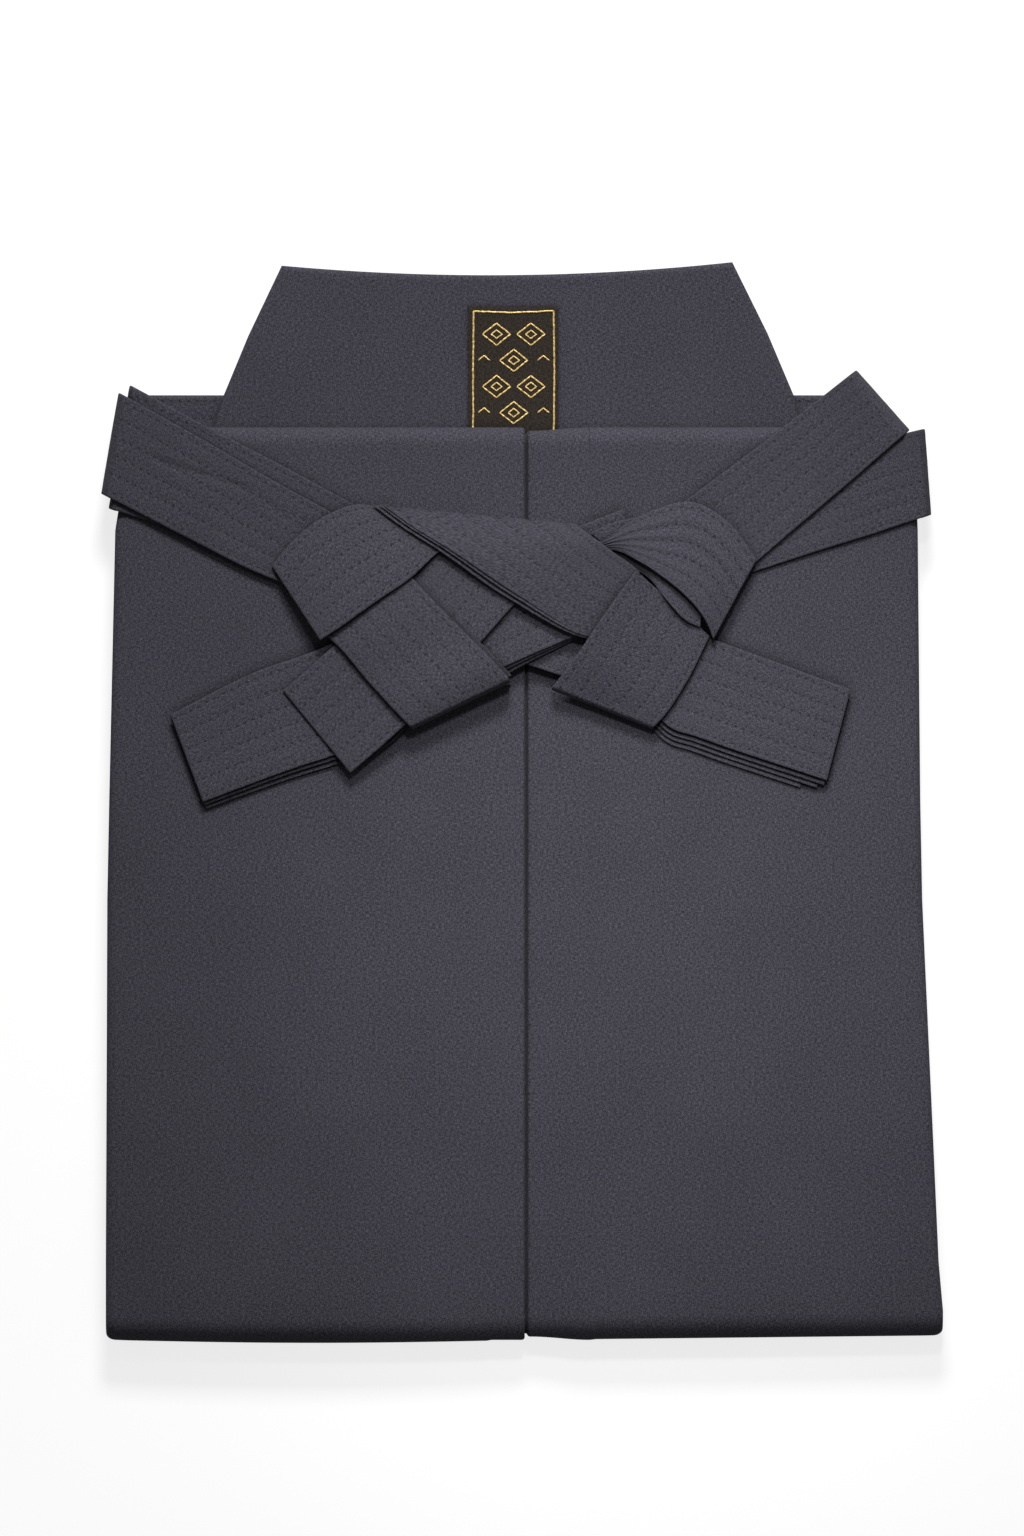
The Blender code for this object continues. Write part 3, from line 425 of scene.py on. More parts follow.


# a mask of painted shade in the stitch pits, read from the cloth's flat place
def pit_shade_group():
    group, given, out = new_group(
        "sunken stitches",
        [("Cloth place", "Vector", None), ("First line", "Float", FIRST_LINE * MM),
         ("Line gap", "Float", LINE_GAP * MM), ("Stitch length", "Float", STITCH_LENGTH * MM)],
        [("Mask", "Float")],
    )
    apart = group.nodes.new("ShaderNodeSeparateXYZ")
    group.links.new(given.outputs["Cloth place"], apart.inputs[0])
    lines = sums(group, "DIVIDE", sums(group, "SUBTRACT", apart.outputs[1], given.outputs["First line"]),
                 given.outputs["Line gap"])
    nearest = sums(group, "ROUND", lines)
    off_line = sums(group, "ABSOLUTE", sums(group, "SUBTRACT", lines, nearest))
    steps = sums(group, "DIVIDE", apart.outputs[0], given.outputs["Stitch length"])
    steps = sums(group, "MULTIPLY_ADD", nearest, 2 / STITCH_ROWS, steps)
    off_step = sums(group, "ABSOLUTE", sums(group, "SUBTRACT", steps, sums(group, "ROUND", steps)))
    near_line = sums(group, "SUBTRACT", 1.0, sums(group, "MULTIPLY", off_line, LINE_SHARPNESS))
    near_step = sums(group, "SUBTRACT", 1.0, sums(group, "MULTIPLY", off_step, STITCH_SHARPNESS))
    near_line = sums(group, "MAXIMUM", near_line, 0.0)
    near_step = sums(group, "MAXIMUM", near_step, 0.0)
    group.links.new(sums(group, "MULTIPLY", near_line, near_step), out.inputs["Mask"])
    return group


STITCH_PIT_SHADE = pit_shade_group()
print("stitch lines", len(STITCH_LINES), "about", round(LINE_GAP, 1), "mm apart")

# %% [markdown]
# ## The materials
#
# Each material keeps its own Principled shader. The groups feed its colour, roughness and bump. What is
# the same all over, such as the sheen of the nap, is a plain number on the shader's socket.
#
# Where two layers press together, hardly any light gets in, and a sharp photograph shows that as a thin dark
# line. Soft light alone leaves it too pale here. So an Ambient Occlusion node darkens the cloth within 6 mm of
# other cloth. It doesn't depend on the camera. It is a choice for the look and no property of real cloth:
# painted shade, which ends up in the colour.

# %% Build what all woven materials share
def woven_material(name, dye, pitch, strength, depth):
    """A material with woven colour and bump, its dye group, and the node that holds the flat place."""
    material = bpy.data.materials.new(name)
    material.use_nodes = True
    tree = material.node_tree
    shader = tree.nodes["Principled BSDF"]
    flat_place = tree.nodes.new("ShaderNodeUVMap")
    flat_place.uv_map = "flat_cloth"
    weave = tree.nodes.new("ShaderNodeGroup")
    weave.node_tree = TWILL
    weave.inputs["Thread pitch"].default_value = pitch
    tone = tree.nodes.new("ShaderNodeGroup")
    tone.node_tree = DYE_AND_PAINTED_SHADE
    tone.inputs["Dye"].default_value = (*dye, 1.0)
    relief = tree.nodes.new("ShaderNodeBump")
    relief.inputs["Strength"].default_value = strength
    relief.inputs["Distance"].default_value = depth
    for group in (weave, tone):
        tree.links.new(flat_place.outputs[0], group.inputs["Cloth place"])
    tree.links.new(weave.outputs["Thread"], tone.inputs["Thread"])
    tree.links.new(weave.outputs["Height"], relief.inputs["Height"])
    tree.links.new(tone.outputs["Color"], shader.inputs["Base Color"])
    tree.links.new(relief.outputs["Normal"], shader.inputs["Normal"])
    return material, tone, flat_place


print("woven materials read the map flat_cloth")

# %% Dye the cloths, with painted shade in close folds
CHARCOAL = (0.0590, 0.0569, 0.0730)
BOARD_CHARCOAL = (0.0580, 0.0559, 0.0717)
# a copy of the charcoal made about a tenth darker: painted shade on the layered side edges
SHADED_EDGE_CHARCOAL = (0.0520, 0.0500, 0.0645)
LABEL_BROWN = (0.034, 0.027, 0.021)
# how far the painted shade of close folds reaches from other cloth
FOLD_REACH = 6 * MM


def cloth_finish(name, dye, pitch=TWILL_PITCH, stitched=False, sheen=0.06, depth=0.18 * MM):
    material, tone, flat_place = woven_material(name, dye, pitch, 0.55, depth)
    tree = material.node_tree
    shader = tree.nodes["Principled BSDF"]
    # painted shade: an Ambient Occlusion node darkens the colour where other cloth closes a spot in
    openness = tree.nodes.new("ShaderNodeAmbientOcclusion")
    openness.samples = 8
    openness.inputs["Distance"].default_value = FOLD_REACH
    tree.links.new(openness.outputs["AO"], tone.inputs["Openness"])
    tree.links.new(tone.outputs["Roughness"], shader.inputs["Roughness"])
    shader.inputs["Sheen Weight"].default_value = sheen
    shader.inputs["Sheen Roughness"].default_value = 0.45
    shader.inputs["Specular IOR Level"].default_value = 0.12
    if stitched:
        # painted shade: the strap's colour darkens in its stitch pits
        marks = tree.nodes.new("ShaderNodeGroup")
        marks.node_tree = STITCH_PIT_SHADE
        tree.links.new(flat_place.outputs[0], marks.inputs["Cloth place"])
        tree.links.new(marks.outputs["Mask"], tone.inputs["Pit shade"])
    return material


PANEL_CLOTH = cloth_finish("panel_cloth", CHARCOAL)
BOARD_CLOTH = cloth_finish("board_cloth", BOARD_CHARCOAL)
STRAP_CLOTH = cloth_finish("strap_cloth", CHARCOAL, stitched=True)
SHADED_EDGE_CLOTH = cloth_finish("shaded_edge_cloth", SHADED_EDGE_CHARCOAL)
LABEL_CLOTH = cloth_finish("label_cloth", LABEL_BROWN, pitch=0.7 * MM, sheen=0.04, depth=0.1 * MM)
print("cloths dyed:", 5)

# %% [markdown]
# ## Two threads
#
# The straps are stitched with a dark thread, and the label's lines are gold thread: a thin metal foil wound
# on a core, so it shines less than solid metal. Both are twisted. The twill group already makes fine slanting
# ridges, so it serves here too, with a finer pitch and the length of the thread as its first direction.

# %% Spin the threads
THREAD_PITCH = 0.6 * MM


def thread_finish(name, colour, metallic, roughness):
    material = woven_material(name, colour, THREAD_PITCH, 0.5, 0.1 * MM)[0]
    shader = material.node_tree.nodes["Principled BSDF"]
    shader.inputs["Metallic"].default_value = metallic
    shader.inputs["Roughness"].default_value = roughness
    return material


GOLD_THREAD = thread_finish("gold_thread", (0.86, 0.60, 0.22), 0.35, 0.42)
DARK_THREAD = thread_finish("dark_thread", (0.020, 0.019, 0.026), 0.0, 0.75)
print("threads spun: gold and dark")

# %% [markdown]
# ## From rings to cloth
#
# Every cloth wall here is a run of closed rings joined by quads: one ring for each place along the cloth.
# It could be a sheet with a Solidify modifier, but the folds and loose layers need a wall whose two faces
# are shaped apart, and rings keep a firm grip on where each point lies. A piece may hold several such
# walls, one for each loose layer.

# %% Join rings into a piece
Wall = namedtuple("Wall", "rings places")
SHARP_ANGLE = 55


def cloth_piece(name, walls, material, ladder=False):
    """One object from one or more closed walls. places holds each point's flat place, in mm."""
    points, flat, faces = [], [], []
    for wall in walls:
        start, count = len(points), len(wall.rings[0])
        for ring, places in zip(wall.rings, wall.places):
            points += [(p - MIDDLE) * MM for p in ring]
            flat += [(u * MM, v * MM) for u, v in places]
        for r in range(len(wall.rings) - 1):
            near, far = start + r * count, start + (r + 1) * count
            for k in range(count):
                after = (k + 1) % count
                faces.append((near + k, near + after, far + after, far + k))
        for first in (start, start + (len(wall.rings) - 1) * count):
            if ladder:
                for k in range(count // 2 - 1):
                    faces.append((first + k, first + k + 1, first + count - 2 - k, first + count - 1 - k))
            else:
                faces.append(tuple(range(first, first + count)))
    mesh = bpy.data.meshes.new(name)
    mesh.from_pydata(points, [], faces)
    outward(mesh)
    layer = mesh.uv_layers.new(name="flat_cloth")
    for loop in mesh.loops:
        layer.data[loop.index].uv = flat[loop.vertex_index]
    mesh.shade_smooth()
    mesh.set_sharp_from_angle(angle=math.radians(SHARP_ANGLE))
    mesh.materials.append(material)
    piece = bpy.data.objects.new(name, mesh)
    bpy.context.scene.collection.objects.link(piece)
    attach(piece, "root")
    return piece


def outward(mesh):
    """Turn all faces to look out of the wall."""
    shape = bmesh.new()
    shape.from_mesh(mesh)
    bmesh.ops.recalc_face_normals(shape, faces=shape.faces[:])
    if shape.calc_volume(signed=True) < 0:
        bmesh.ops.reverse_faces(shape, faces=shape.faces[:])
    shape.to_mesh(mesh)
    shape.free()


print("edges sharper than", SHARP_ANGLE, "degrees stay crisp")


# %% Read tables and curves
def between(table, value, key, column):
    rows = sorted(table, key=lambda row: getattr(row, key))
    value = min(max(value, getattr(rows[0], key)), getattr(rows[-1], key))
    for low, high in zip(rows, rows[1:]):
        a, b = getattr(low, key), getattr(high, key)
        if value <= b:
            share = (value - a) / (b - a)
            return getattr(low, column) * (1 - share) + getattr(high, column) * share
    return getattr(rows[-1], column)


def smooth_step(share):
    share = min(max(share, 0.0), 1.0)
    return share * share * (3 - 2 * share)


def ripple(x, y, size, seed):
    """A smooth hollow or rise from -1 to 1, always the same for the same place."""
    return noise.noise(Vector((x / size, y / size, seed)))


print("a ripple at the middle:", round(ripple(3, 4, 10, 1.5), 3))

# %% [markdown]
# ## The folded stack
#
# A point of the stack is given by its section (how far from the pleat to the side edge, and how high) and
# by its station along the garment. At each end the section turns round a fold, like pages round a spine,
# so layers deeper in the stack turn on a smaller curve.

# %% Place a point in the stack
SectionPoint = namedtuple("SectionPoint", "share offset z")
Station = namedtuple("Station", "end angle y")
HALF_WIDTH = 165.0
MARKS_LOW_Z, MARKS_RISE = 13.0, 4.0


def crown_drop(x, y):
    fade = smooth_step((CROWN_START_Y - y) / (CROWN_START_Y - CROWN_FULL_Y))
    left = LEFT_CROWN_DROP * ((min(x, PLEAT_X) - LEFT_CROWN_X) / LEFT_CROWN_HALF) ** 2
    beyond = smooth_step((x - PLEAT_X) / PLEAT_CROWN_WIDTH)
    right = max(0.0, x - CREASE_X) * CREASE_SLOPE
    return fade * (left * (1 - beyond) + right)


def fold_depth(z, low):
    if z > (STACK_HEIGHT + low) / 2:
        return STACK_HEIGHT - z
    return max(z - low, WALL + SEAM_GAP)


def place(point, station, side):
    across = point.share
    bottom = BOTTOM_FOLD_Y + BOTTOM_RIGHT_RISE * across
    if side < 0:
        bottom = BOTTOM_FOLD_Y - BOTTOM_LEFT_SAG * math.sin(math.pi * across)
    y = station.y
    if station.end == "top":
        y = TOP_FOLD_Y - TOP_FOLD_REACH
    if station.end == "bottom":
        y = bottom + BOTTOM_FOLD_REACH
    edge = between(SIDE_EDGES, y, "y", "left" if side < 0 else "right")
    x = PLEAT_X + across * (edge - PLEAT_X) + side * point.offset
    z = point.z
    sink = crown_drop(x, y) * smooth_step((z - UPPER_FOLD_BASE) / (STACK_HEIGHT - UPPER_FOLD_BASE))
    if not station.end:
        sink += press_marks(x, y) * smooth_step((z - MARKS_LOW_Z) / MARKS_RISE)
    turn = math.radians(station.angle)
    if station.end == "top":
        middle = (STACK_HEIGHT + UPPER_FOLD_BASE) / 2
        if z > UPPER_FOLD_BASE:
            y += max(TOP_FOLD_REACH - fold_depth(z, UPPER_FOLD_BASE), 0.0) * math.sin(turn)
            z = middle + (z - middle) * math.cos(turn)
        else:
            y += (WAIST_END_Y - y) * math.sin(turn)
    if station.end == "bottom":
        middle = STACK_HEIGHT / 2
        y -= (BOTTOM_FOLD_REACH - fold_depth(z, 0.0)) * math.sin(turn)
        z = middle + (z - middle) * math.cos(turn)
    return Vector((x, y, z - sink * max(math.cos(turn), 0.0)))


print("the face lies", round(crown_drop(0.0, -100.0), 1), "mm lower at the pleat than at its crown")

# %% [markdown]
# ## Creases and hollows of the panels
#
# Pressed wool-like cloth is never quite flat. The marks below are laid where the folded cloth
# shows them: the long pressed crease, a short nick under the top fold, and shallow hollows that are uneven
# in length and depth. They only ever sink, so nothing that lies on the panels is touched.

# %% Press the marks into the cloth
PressMark = namedtuple("PressMark", "x0 y0 x1 y1 width depth")
PRESS_MARKS = (
    PressMark(79.0, -28.0, 80.2, -205.0, 2.6, 0.26),
    PressMark(-101.5, 144.0, -101.0, 136.0, 1.2, 0.45),
    PressMark(-118.0, -60.0, -124.0, -190.0, 17.0, 0.22),
    PressMark(-46.0, -40.0, -40.0, -150.0, 13.0, 0.16),
    PressMark(121.0, -20.0, 128.0, -120.0, 15.0, 0.24),
    PressMark(40.0, -120.0, 47.0, -200.0, 11.0, 0.14),
    PressMark(-150.0, 60.0, -153.0, -60.0, 5.0, 0.18),
    PressMark(146.0, 60.0, 148.0, -90.0, 5.0, 0.16),
)


def mark_depth(marks, x, y):
    """How far soft marks sink the cloth at this place."""
    found = 0.0
    for mark in marks:
        way = Vector((mark.x1 - mark.x0, mark.y1 - mark.y0))
        spot = Vector((x - mark.x0, y - mark.y0))
        share = spot.dot(way) / way.length_squared
        off = abs(way.x * spot.y - way.y * spot.x) / way.length / mark.width
        if off < 2.5 and -0.2 < share < 1.2:
            ends = smooth_step((share + 0.2) / 0.3) * smooth_step((1.2 - share) / 0.3)
            found += mark.depth * math.exp(-off * off) * ends
    return found


BROAD_HOLLOW, BROAD_DEPTH = 38.0, 0.13
SMALL_HOLLOW, SMALL_DEPTH = 13.0, 0.05
BELOW_STRAPS_Y = -2.0


def press_marks(x, y):
    """How far the panel's face sinks at this place, fading out towards both folds."""
    hollows = BROAD_DEPTH * (1 + ripple(x, y, BROAD_HOLLOW, 2.0))
    hollows += SMALL_DEPTH * (1 + ripple(x, y, SMALL_HOLLOW, 5.0))
    found = mark_depth(PRESS_MARKS, x, y) + smooth_step((BELOW_STRAPS_Y - y) / 40.0) * hollows
    fade = smooth_step((y + 205.0) / 22.0) * smooth_step((143.0 - y) / 10.0)
    return found * fade


print("press marks laid:", len(PRESS_MARKS))

# %% [markdown]
# ## The two back panels
#
# The face that shows is the middle third of the garment's back. The left panel folds back on itself at the
# centre and lies over the right one, which dips under it: that is the centre-back pleat. Each panel is a
# wall of cloth that wraps round the stack's bottom fold and over its top fold, with its side edge turned in.

# %% Draw the panels' sections
def side_lip(inset, tuck, angles=range(0, 181, 15)):
    level = STACK_HEIGHT - SIDE_LIP_HEIGHT / 2
    points = []
    for angle in angles:
        turn = math.radians(angle)
        offset = -SIDE_LIP_REACH + (SIDE_LIP_REACH - inset) * math.sin(turn)
        z = level + (SIDE_LIP_HEIGHT / 2 - inset) * math.cos(turn)
        points.append(SectionPoint(1.0, offset, z))
    points.append(SectionPoint(1.0, -SIDE_LIP_REACH - tuck / 2, points[-1].z))
    points.append(SectionPoint(1.0, -SIDE_LIP_REACH - tuck, points[-1].z))
    return points


def left_panel_section():
    face = STACK_HEIGHT - WALL / 2
    flap = face - LAYER_STEP
    points = [SectionPoint(0.0, LEFT_FLAP * share, flap) for share in (1.0, 0.7, 0.4, 0.15)]
    points += [
        SectionPoint(0.0, PLEAT_TURN, flap),
        SectionPoint(0.0, 0.62, flap + 0.14),
        SectionPoint(0.0, 0.42, flap + 0.42),
        SectionPoint(0.0, 0.40, (face + flap) / 2),
        SectionPoint(0.0, 0.42, face - 0.42),
        SectionPoint(0.0, 0.62, face - 0.14),
        SectionPoint(0.0, PLEAT_TURN, face),
    ]
    points += [SectionPoint(0.0, offset, face) for offset in (2.2, 3.4, 5.0, 7.0, 9.0, 11.0, 13.2)]
    points += [SectionPoint(0.09 + 0.0068 * k, 0.0, face) for k in range(127)]
    return points + side_lip(WALL / 2, SIDE_TUCK)


def right_panel_section():
    face = STACK_HEIGHT - WALL / 2
    underlap = face - 2 * LAYER_STEP
    points = [SectionPoint(0.0, offset, underlap) for offset in (-18.0, -13.0, -9.0, -5.0, -1.5, 0.2)]
    for offset in [0.75 + 0.26 * k for k in range(7)] + [2.8, 3.3] + [3.8 + 1.48 * k for k in range(16)]:
        at_fold = smooth_step((offset - 0.75) / 1.3)
        slope = smooth_step((offset - RIGHT_RISE_START) / (RIGHT_RISE_END - RIGHT_RISE_START))
        points.append(SectionPoint(0.0, offset, underlap + (face - underlap) * (at_fold + slope) / 2))
    points += [SectionPoint(0.172 + 0.0068 * k, 0.0, face) for k in range(115)]
    return points + side_lip(WALL / 2, SIDE_TUCK)


def wall_ring(path, station, side):
    """A closed ring round a wall whose middle line is the path, and its points' flat places."""
    outer, inner, flat = [], [], []
    spots = [Vector((side * (p.share * HALF_WIDTH + p.offset), p.z)) for p in path]
    run = 0.0
    for k, point in enumerate(path):
        along = (spots[min(k + 1, len(spots) - 1)] - spots[max(k - 1, 0)]).normalized()
        out = Vector((-along.y, along.x)) * -side
        run += (spots[k] - spots[max(k - 1, 0)]).length
        flat.append(run)
        for ring, half in ((outer, WALL / 2), (inner, -WALL / 2)):
            shift = out * half
            moved = SectionPoint(point.share, point.offset + side * shift.x, point.z + shift.y)
            ring.append(place(moved, station, side))
    return outer + inner[::-1], flat + flat[::-1]


print("section points:", len(left_panel_section()), "and", len(right_panel_section()))


# %% Sew the panels
def panel_stations():
    found = [Station("top", angle, 0.0) for angle in (140, 125, 110, 98, 86, 74, 62, 50, 38, 26, 14, 0)]
    found += [Station("", 0, 141.0 - 2.5 * k) for k in range(136)]
    found += [Station("bottom", angle, 0.0) for angle in range(0, 179, 12)]
    return found


def back_panel(name, path, side):
    rings, places, run, last = [], [], 0.0, None
    for station in panel_stations():
        ring, across = wall_ring(path, station, side)
        spot = ring[len(path) // 2]
        run += (spot - last).length if last else 0.0
        last = spot
        rings.append(ring)
        places.append([(run, v) for v in across])
    piece = cloth_piece(name, [Wall(rings, places)], PANEL_CLOTH, ladder=True)
    print(name, "flat", round(max(places[0])[1]), "x", round(run), "mm,", len(piece.data.polygons), "faces")
    return piece


LEFT_PANEL = back_panel("back_panel_left_cloth", left_panel_section(), -1)
RIGHT_PANEL = back_panel("back_panel_right_cloth", right_panel_section(), 1)
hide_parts("back_panel_left")
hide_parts("back_panel_right")

# %% [markdown]
# ## The layers under the panels
#
# Between the panels and the table lie the front panels with their pleats, the hem third and the waist
# third. Only their edges show, at the two sides. Modelling each layer whole would hide nearly all of the
# work, so they share one body whose sides are grooved between one layer's edge and the next.

# %% Draw the layered sides
LAYER_LINES = (1.2, 2.4, 3.6, 4.9, 7.6, 8.8, 10.0, 11.1)
GROOVE_DEPTH, GROOVE_HALF_WIDTH = 0.75, 0.16
SIDE_OUTLINE = (
    (12.1, -3.2), (11.0, -1.5), (9.4, -1.0), (7.7, -1.5), (6.8, -3.4), (6.4, -6.0),
    (6.0, -6.0), (5.7, -4.2), (4.6, -2.6), (3.0, -2.1), (1.3, -2.6), (0.0, -4.0),
)
LOW_LAYERS_TOP, LOW_LAYERS_END_Y = 6.0, -190.0


def layer_side(y, side):
    """The side's section under the first lip: (offset, height) pairs from its notch to the table."""
    pairs = []
    for (high, out_high), (low, out_low) in zip(SIDE_OUTLINE, SIDE_OUTLINE[1:]):
        steps = max(1, round((high - low) / 0.2))
        for k in range(steps):
            t = k / steps
            z = high + (low - high) * t
            groove = max(math.exp(-((z - line) / GROOVE_HALF_WIDTH) ** 2) for line in LAYER_LINES)
            layer = sum(z > line for line in LAYER_LINES)
            loose = 0.45 * ripple(y, 31.0 * layer, 46.0, side + 3.0) - 0.35
            pairs.append((out_high + (out_low - out_high) * t - GROOVE_DEPTH * groove + min(loose, 0.0), z))
    return pairs + [(SIDE_OUTLINE[-1][1], 0.0)]


def legs_height(point, station):
    """The height of a layer's point, pressed together where the panel turns round a fold."""
    z, lower_top, skin = point.z, LOW_LAYERS_TOP, WALL + SEAM_GAP
    if not station.end and station.y < LOW_LAYERS_END_Y and z <= lower_top:
        return skin + z * (lower_top - skin) / lower_top
    if station.end == "bottom" and station.angle < 10:
        return PLEAT_DEPTH + z * (lower_top - PLEAT_DEPTH) / lower_top if z <= lower_top else z
    turned = station.end == "bottom" or station.end == "top" and station.angle > 0 and z > UPPER_FOLD_BASE
    if not turned or point.share > 0.7 and z > SIDE_NOTCH_TOP - 0.01:
        return z
    low = UPPER_FOLD_BASE if station.end == "top" else 0.0
    room = SIDE_NOTCH_TOP - low
    return min(low + PLEAT_DEPTH + (z - low) * (room - PLEAT_DEPTH) / room, STACK_HEIGHT - PLEAT_DEPTH)


def legs_half(side, y):
    top = STACK_HEIGHT - WALL - SEAM_GAP
    trough = top - 2 * LAYER_STEP
    notch = SIDE_LIP_REACH + SIDE_TUCK + 1.0
    if side < 0:
        points = [SectionPoint(0.0, 0.0, trough), SectionPoint(0.0, LEFT_FLAP + 2.0, trough),
                  SectionPoint(0.0, LEFT_FLAP + 8.0, top)]
    else:
        points = [SectionPoint(0.0, RIGHT_RISE_START + 1.0, trough)]
        for share in (0.25, 0.5, 0.75, 1.0):
            offset = RIGHT_RISE_START + 1.0 + (RIGHT_RISE_END - RIGHT_RISE_START) * share
            points.append(SectionPoint(0.0, offset, trough + (top - trough) * smooth_step(share)))
    points += [SectionPoint(share, 0.0, top) for share in (0.3, 0.45, 0.6, 0.75, 0.93)]
    points += side_lip(WALL + SEAM_GAP, SIDE_TUCK, range(0, 181, 30))[:-2]
    points += [SectionPoint(1.0, -notch, SIDE_NOTCH_TOP), SectionPoint(1.0, -notch, 12.1)]
    points += [SectionPoint(1.0, offset, z) for offset, z in layer_side(y, side)]
    return points + [SectionPoint(0.6, 0.0, 0.0), SectionPoint(0.3, 0.0, 0.0)]


print("edges of layers that show at a side:", len(LAYER_LINES) + 1)


# %% Stack the layers
def stack_layers():
    notch = SIDE_LIP_REACH + SIDE_TUCK + 1.0
    stations = [Station("top", angle, 0.0) for angle in (50, 38, 25, 12, 0)]
    stations += [Station("", 0, 140.0 - 4.0 * k) for k in range(83)]
    stations += [Station("", 0, -191.0), Station("", 0, -196.0)]
    stations += [Station("bottom", angle, 0.0) for angle in (4, 14, 25, 38, 50, 62, 75)]
    rings, places = [], []
    for station in stations:
        ring, flat = [], []
        reading_y = {"top": 145.0, "bottom": -207.0}.get(station.end, station.y)
        for side in (-1, 1):
            spots, marks = [], []
            for p in legs_half(side, reading_y):
                inside = p.share == 1 and p.z < SIDE_NOTCH_TOP - 0.01
                if inside and (station.end == "bottom" or station.end == "top" and p.z > UPPER_FOLD_BASE):
                    p = p._replace(offset=-notch)
                spot = place(p._replace(z=legs_height(p, station)), station, side)
                spots.append(spot)
                marks.append((spot.x * 0.2 + side * spot.z, spot.y) if p.share == 1 else (spot.x, spot.y))
            ring += spots[::-1] if side < 0 else spots
            flat += marks[::-1] if side < 0 else marks
        rings.append(ring)
        places.append(flat)
    # the side edges take the darker copy of the charcoal, as painted shade
    piece = cloth_piece("folded_legs_cloth", [Wall(rings, places)], SHADED_EDGE_CLOTH)
    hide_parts("folded_legs")
    print("layered body:", len(piece.data.polygons), "faces")
    return piece


LEGS = stack_layers()

# %% [markdown]
# ## The stiff back board
#
# The board that sits in the small of the back is card wrapped in the same cloth. It narrows upwards and
# its top edge dips. Its rim is rounded, because the cloth turns round the card there, and the cloth over
# it swells very slightly. Only this inner face shows.

# %% Cover the board
def board_edge(share, side):
    return between(BOARD_SIDES, share, "share", side)


def board_top_y(column):
    chord = BOARD_TOP_LEFT_Y + (BOARD_TOP_RIGHT_Y - BOARD_TOP_LEFT_Y) * column
    dip = (BOARD_TOP_LEFT_Y + BOARD_TOP_RIGHT_Y) / 2 - BOARD_TOP_DIP_Y
    return chord - dip * 4 * column * (1 - column)


def rim_fall(inside, reach, depth):
    """How far a face falls at a distance inside a rounded rim."""
    if inside >= reach:
        return 0.0
    return depth * (1 - math.sqrt(max(1 - (1 - inside / reach) ** 2, 0.0)))


def cover_board():
    near_rim = (0.0, 0.001, 0.003, 0.006, 0.01, 0.016)
    columns = near_rim + tuple(0.03 + 0.94 * k / 60 for k in range(61))
    columns += tuple(1 - c for c in near_rim[::-1])
    rows = tuple(0.97 * k / 34 for k in range(35)) + (0.98, 0.987, 0.993, 0.997, 1.0)
    rings, places = [], []
    for row in rows:
        top, under, flat = [], [], []
        thickness = BOARD_BASE_THICKNESS + (BOARD_TOP_THICKNESS - BOARD_BASE_THICKNESS) * row
        left, right = board_edge(row, "left"), board_edge(row, "right")
        for column in columns:
            top_y = board_top_y(column)
            x = left + (right - left) * column
            y = BOARD_BASE_Y + (top_y - BOARD_BASE_Y) * row
            side_room = min(column, 1 - column) * (right - left)
            top_room = (1 - row) * (top_y - BOARD_BASE_Y)
            fall = max(rim_fall(side_room, 2.2, thickness / 2), rim_fall(top_room, 2.0, thickness / 2))
            swell = 0.14 * ripple(x, y, 34.0, 7.0) + 0.05 * ripple(x, y, 9.0, 8.0) - 0.15
            swell *= smooth_step(side_room / 6.0) * smooth_step(top_room / 6.0)
            if LABEL_LEFT - 8 < x < LABEL_RIGHT + 8:
                swell = min(swell, -0.05)
            top.append(Vector((x, y, thickness - fall + swell)))
            under.append(Vector((x, y, fall)))
            flat.append((y, x))
        rings.append(top + under[::-1])
        places.append(flat + flat[::-1])
    piece = cloth_piece("koshi_ita_cloth", [Wall(rings, places)], BOARD_CLOTH, ladder=True)
    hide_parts("koshi_ita")
    print("board:", len(piece.data.polygons), "faces")
    return piece


BOARD = cover_board()

# %% [markdown]
# ## The label
#
# A small black-brown patch is sewn on the board, with a line of gold thread near its edge. The motif inside
# is a plain lattice of lozenges, an old and common ornament. Each gold line is a real cord of thread, laid
# on the patch and pulled in a little at every stitch, so that its edge is beaded like the real one.

# %% Cut the label patch
def board_height(y):
    share = (y - BOARD_BASE_Y) / (BOARD_TOP_DIP_Y - BOARD_BASE_Y)
    return BOARD_BASE_THICKNESS + (BOARD_TOP_THICKNESS - BOARD_BASE_THICKNESS) * share


def label_height(x, y):
    return board_height(y) + SEAM_GAP + LABEL_THICKNESS + 0.06 * ripple(x, y, 8.0, 11.0) - 0.06


def cut_label():
    rings, places = [], []
    rows = [BOARD_BASE_Y + k * (LABEL_TOP_Y - BOARD_BASE_Y) / 44 for k in range(45)]
    for y in rows:
        top, under, flat = [], [], []
        for k in range(31):
            column = k / 30
            left = LABEL_LEFT + 0.25 * ripple(y, 1.0, 9.0, 13.0)
            right = LABEL_RIGHT + 0.25 * ripple(y, 5.0, 9.0, 14.0)
            x = left + (right - left) * column
            top_y = y + 0.3 * ripple(x, 2.0, 7.0, 15.0) * smooth_step((y - 190.0) / 8.0)
            room = min(x - left, right - x, LABEL_TOP_Y - y)
            top.append(Vector((x, top_y, label_height(x, y) - rim_fall(room, 0.9, 0.35))))
            under.append(Vector((x, top_y, board_height(y) + SEAM_GAP)))
            flat.append((y, x))
        rings.append(top + under[::-1])
        places.append(flat + flat[::-1])
    piece = cloth_piece("label_patch_cloth", [Wall(rings, places)], LABEL_CLOTH, ladder=True)
    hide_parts("label_patch")
    return piece


LABEL = cut_label()
print("label", LABEL_RIGHT - LABEL_LEFT, "x", round(LABEL_TOP_Y - BOARD_BASE_Y), "mm")


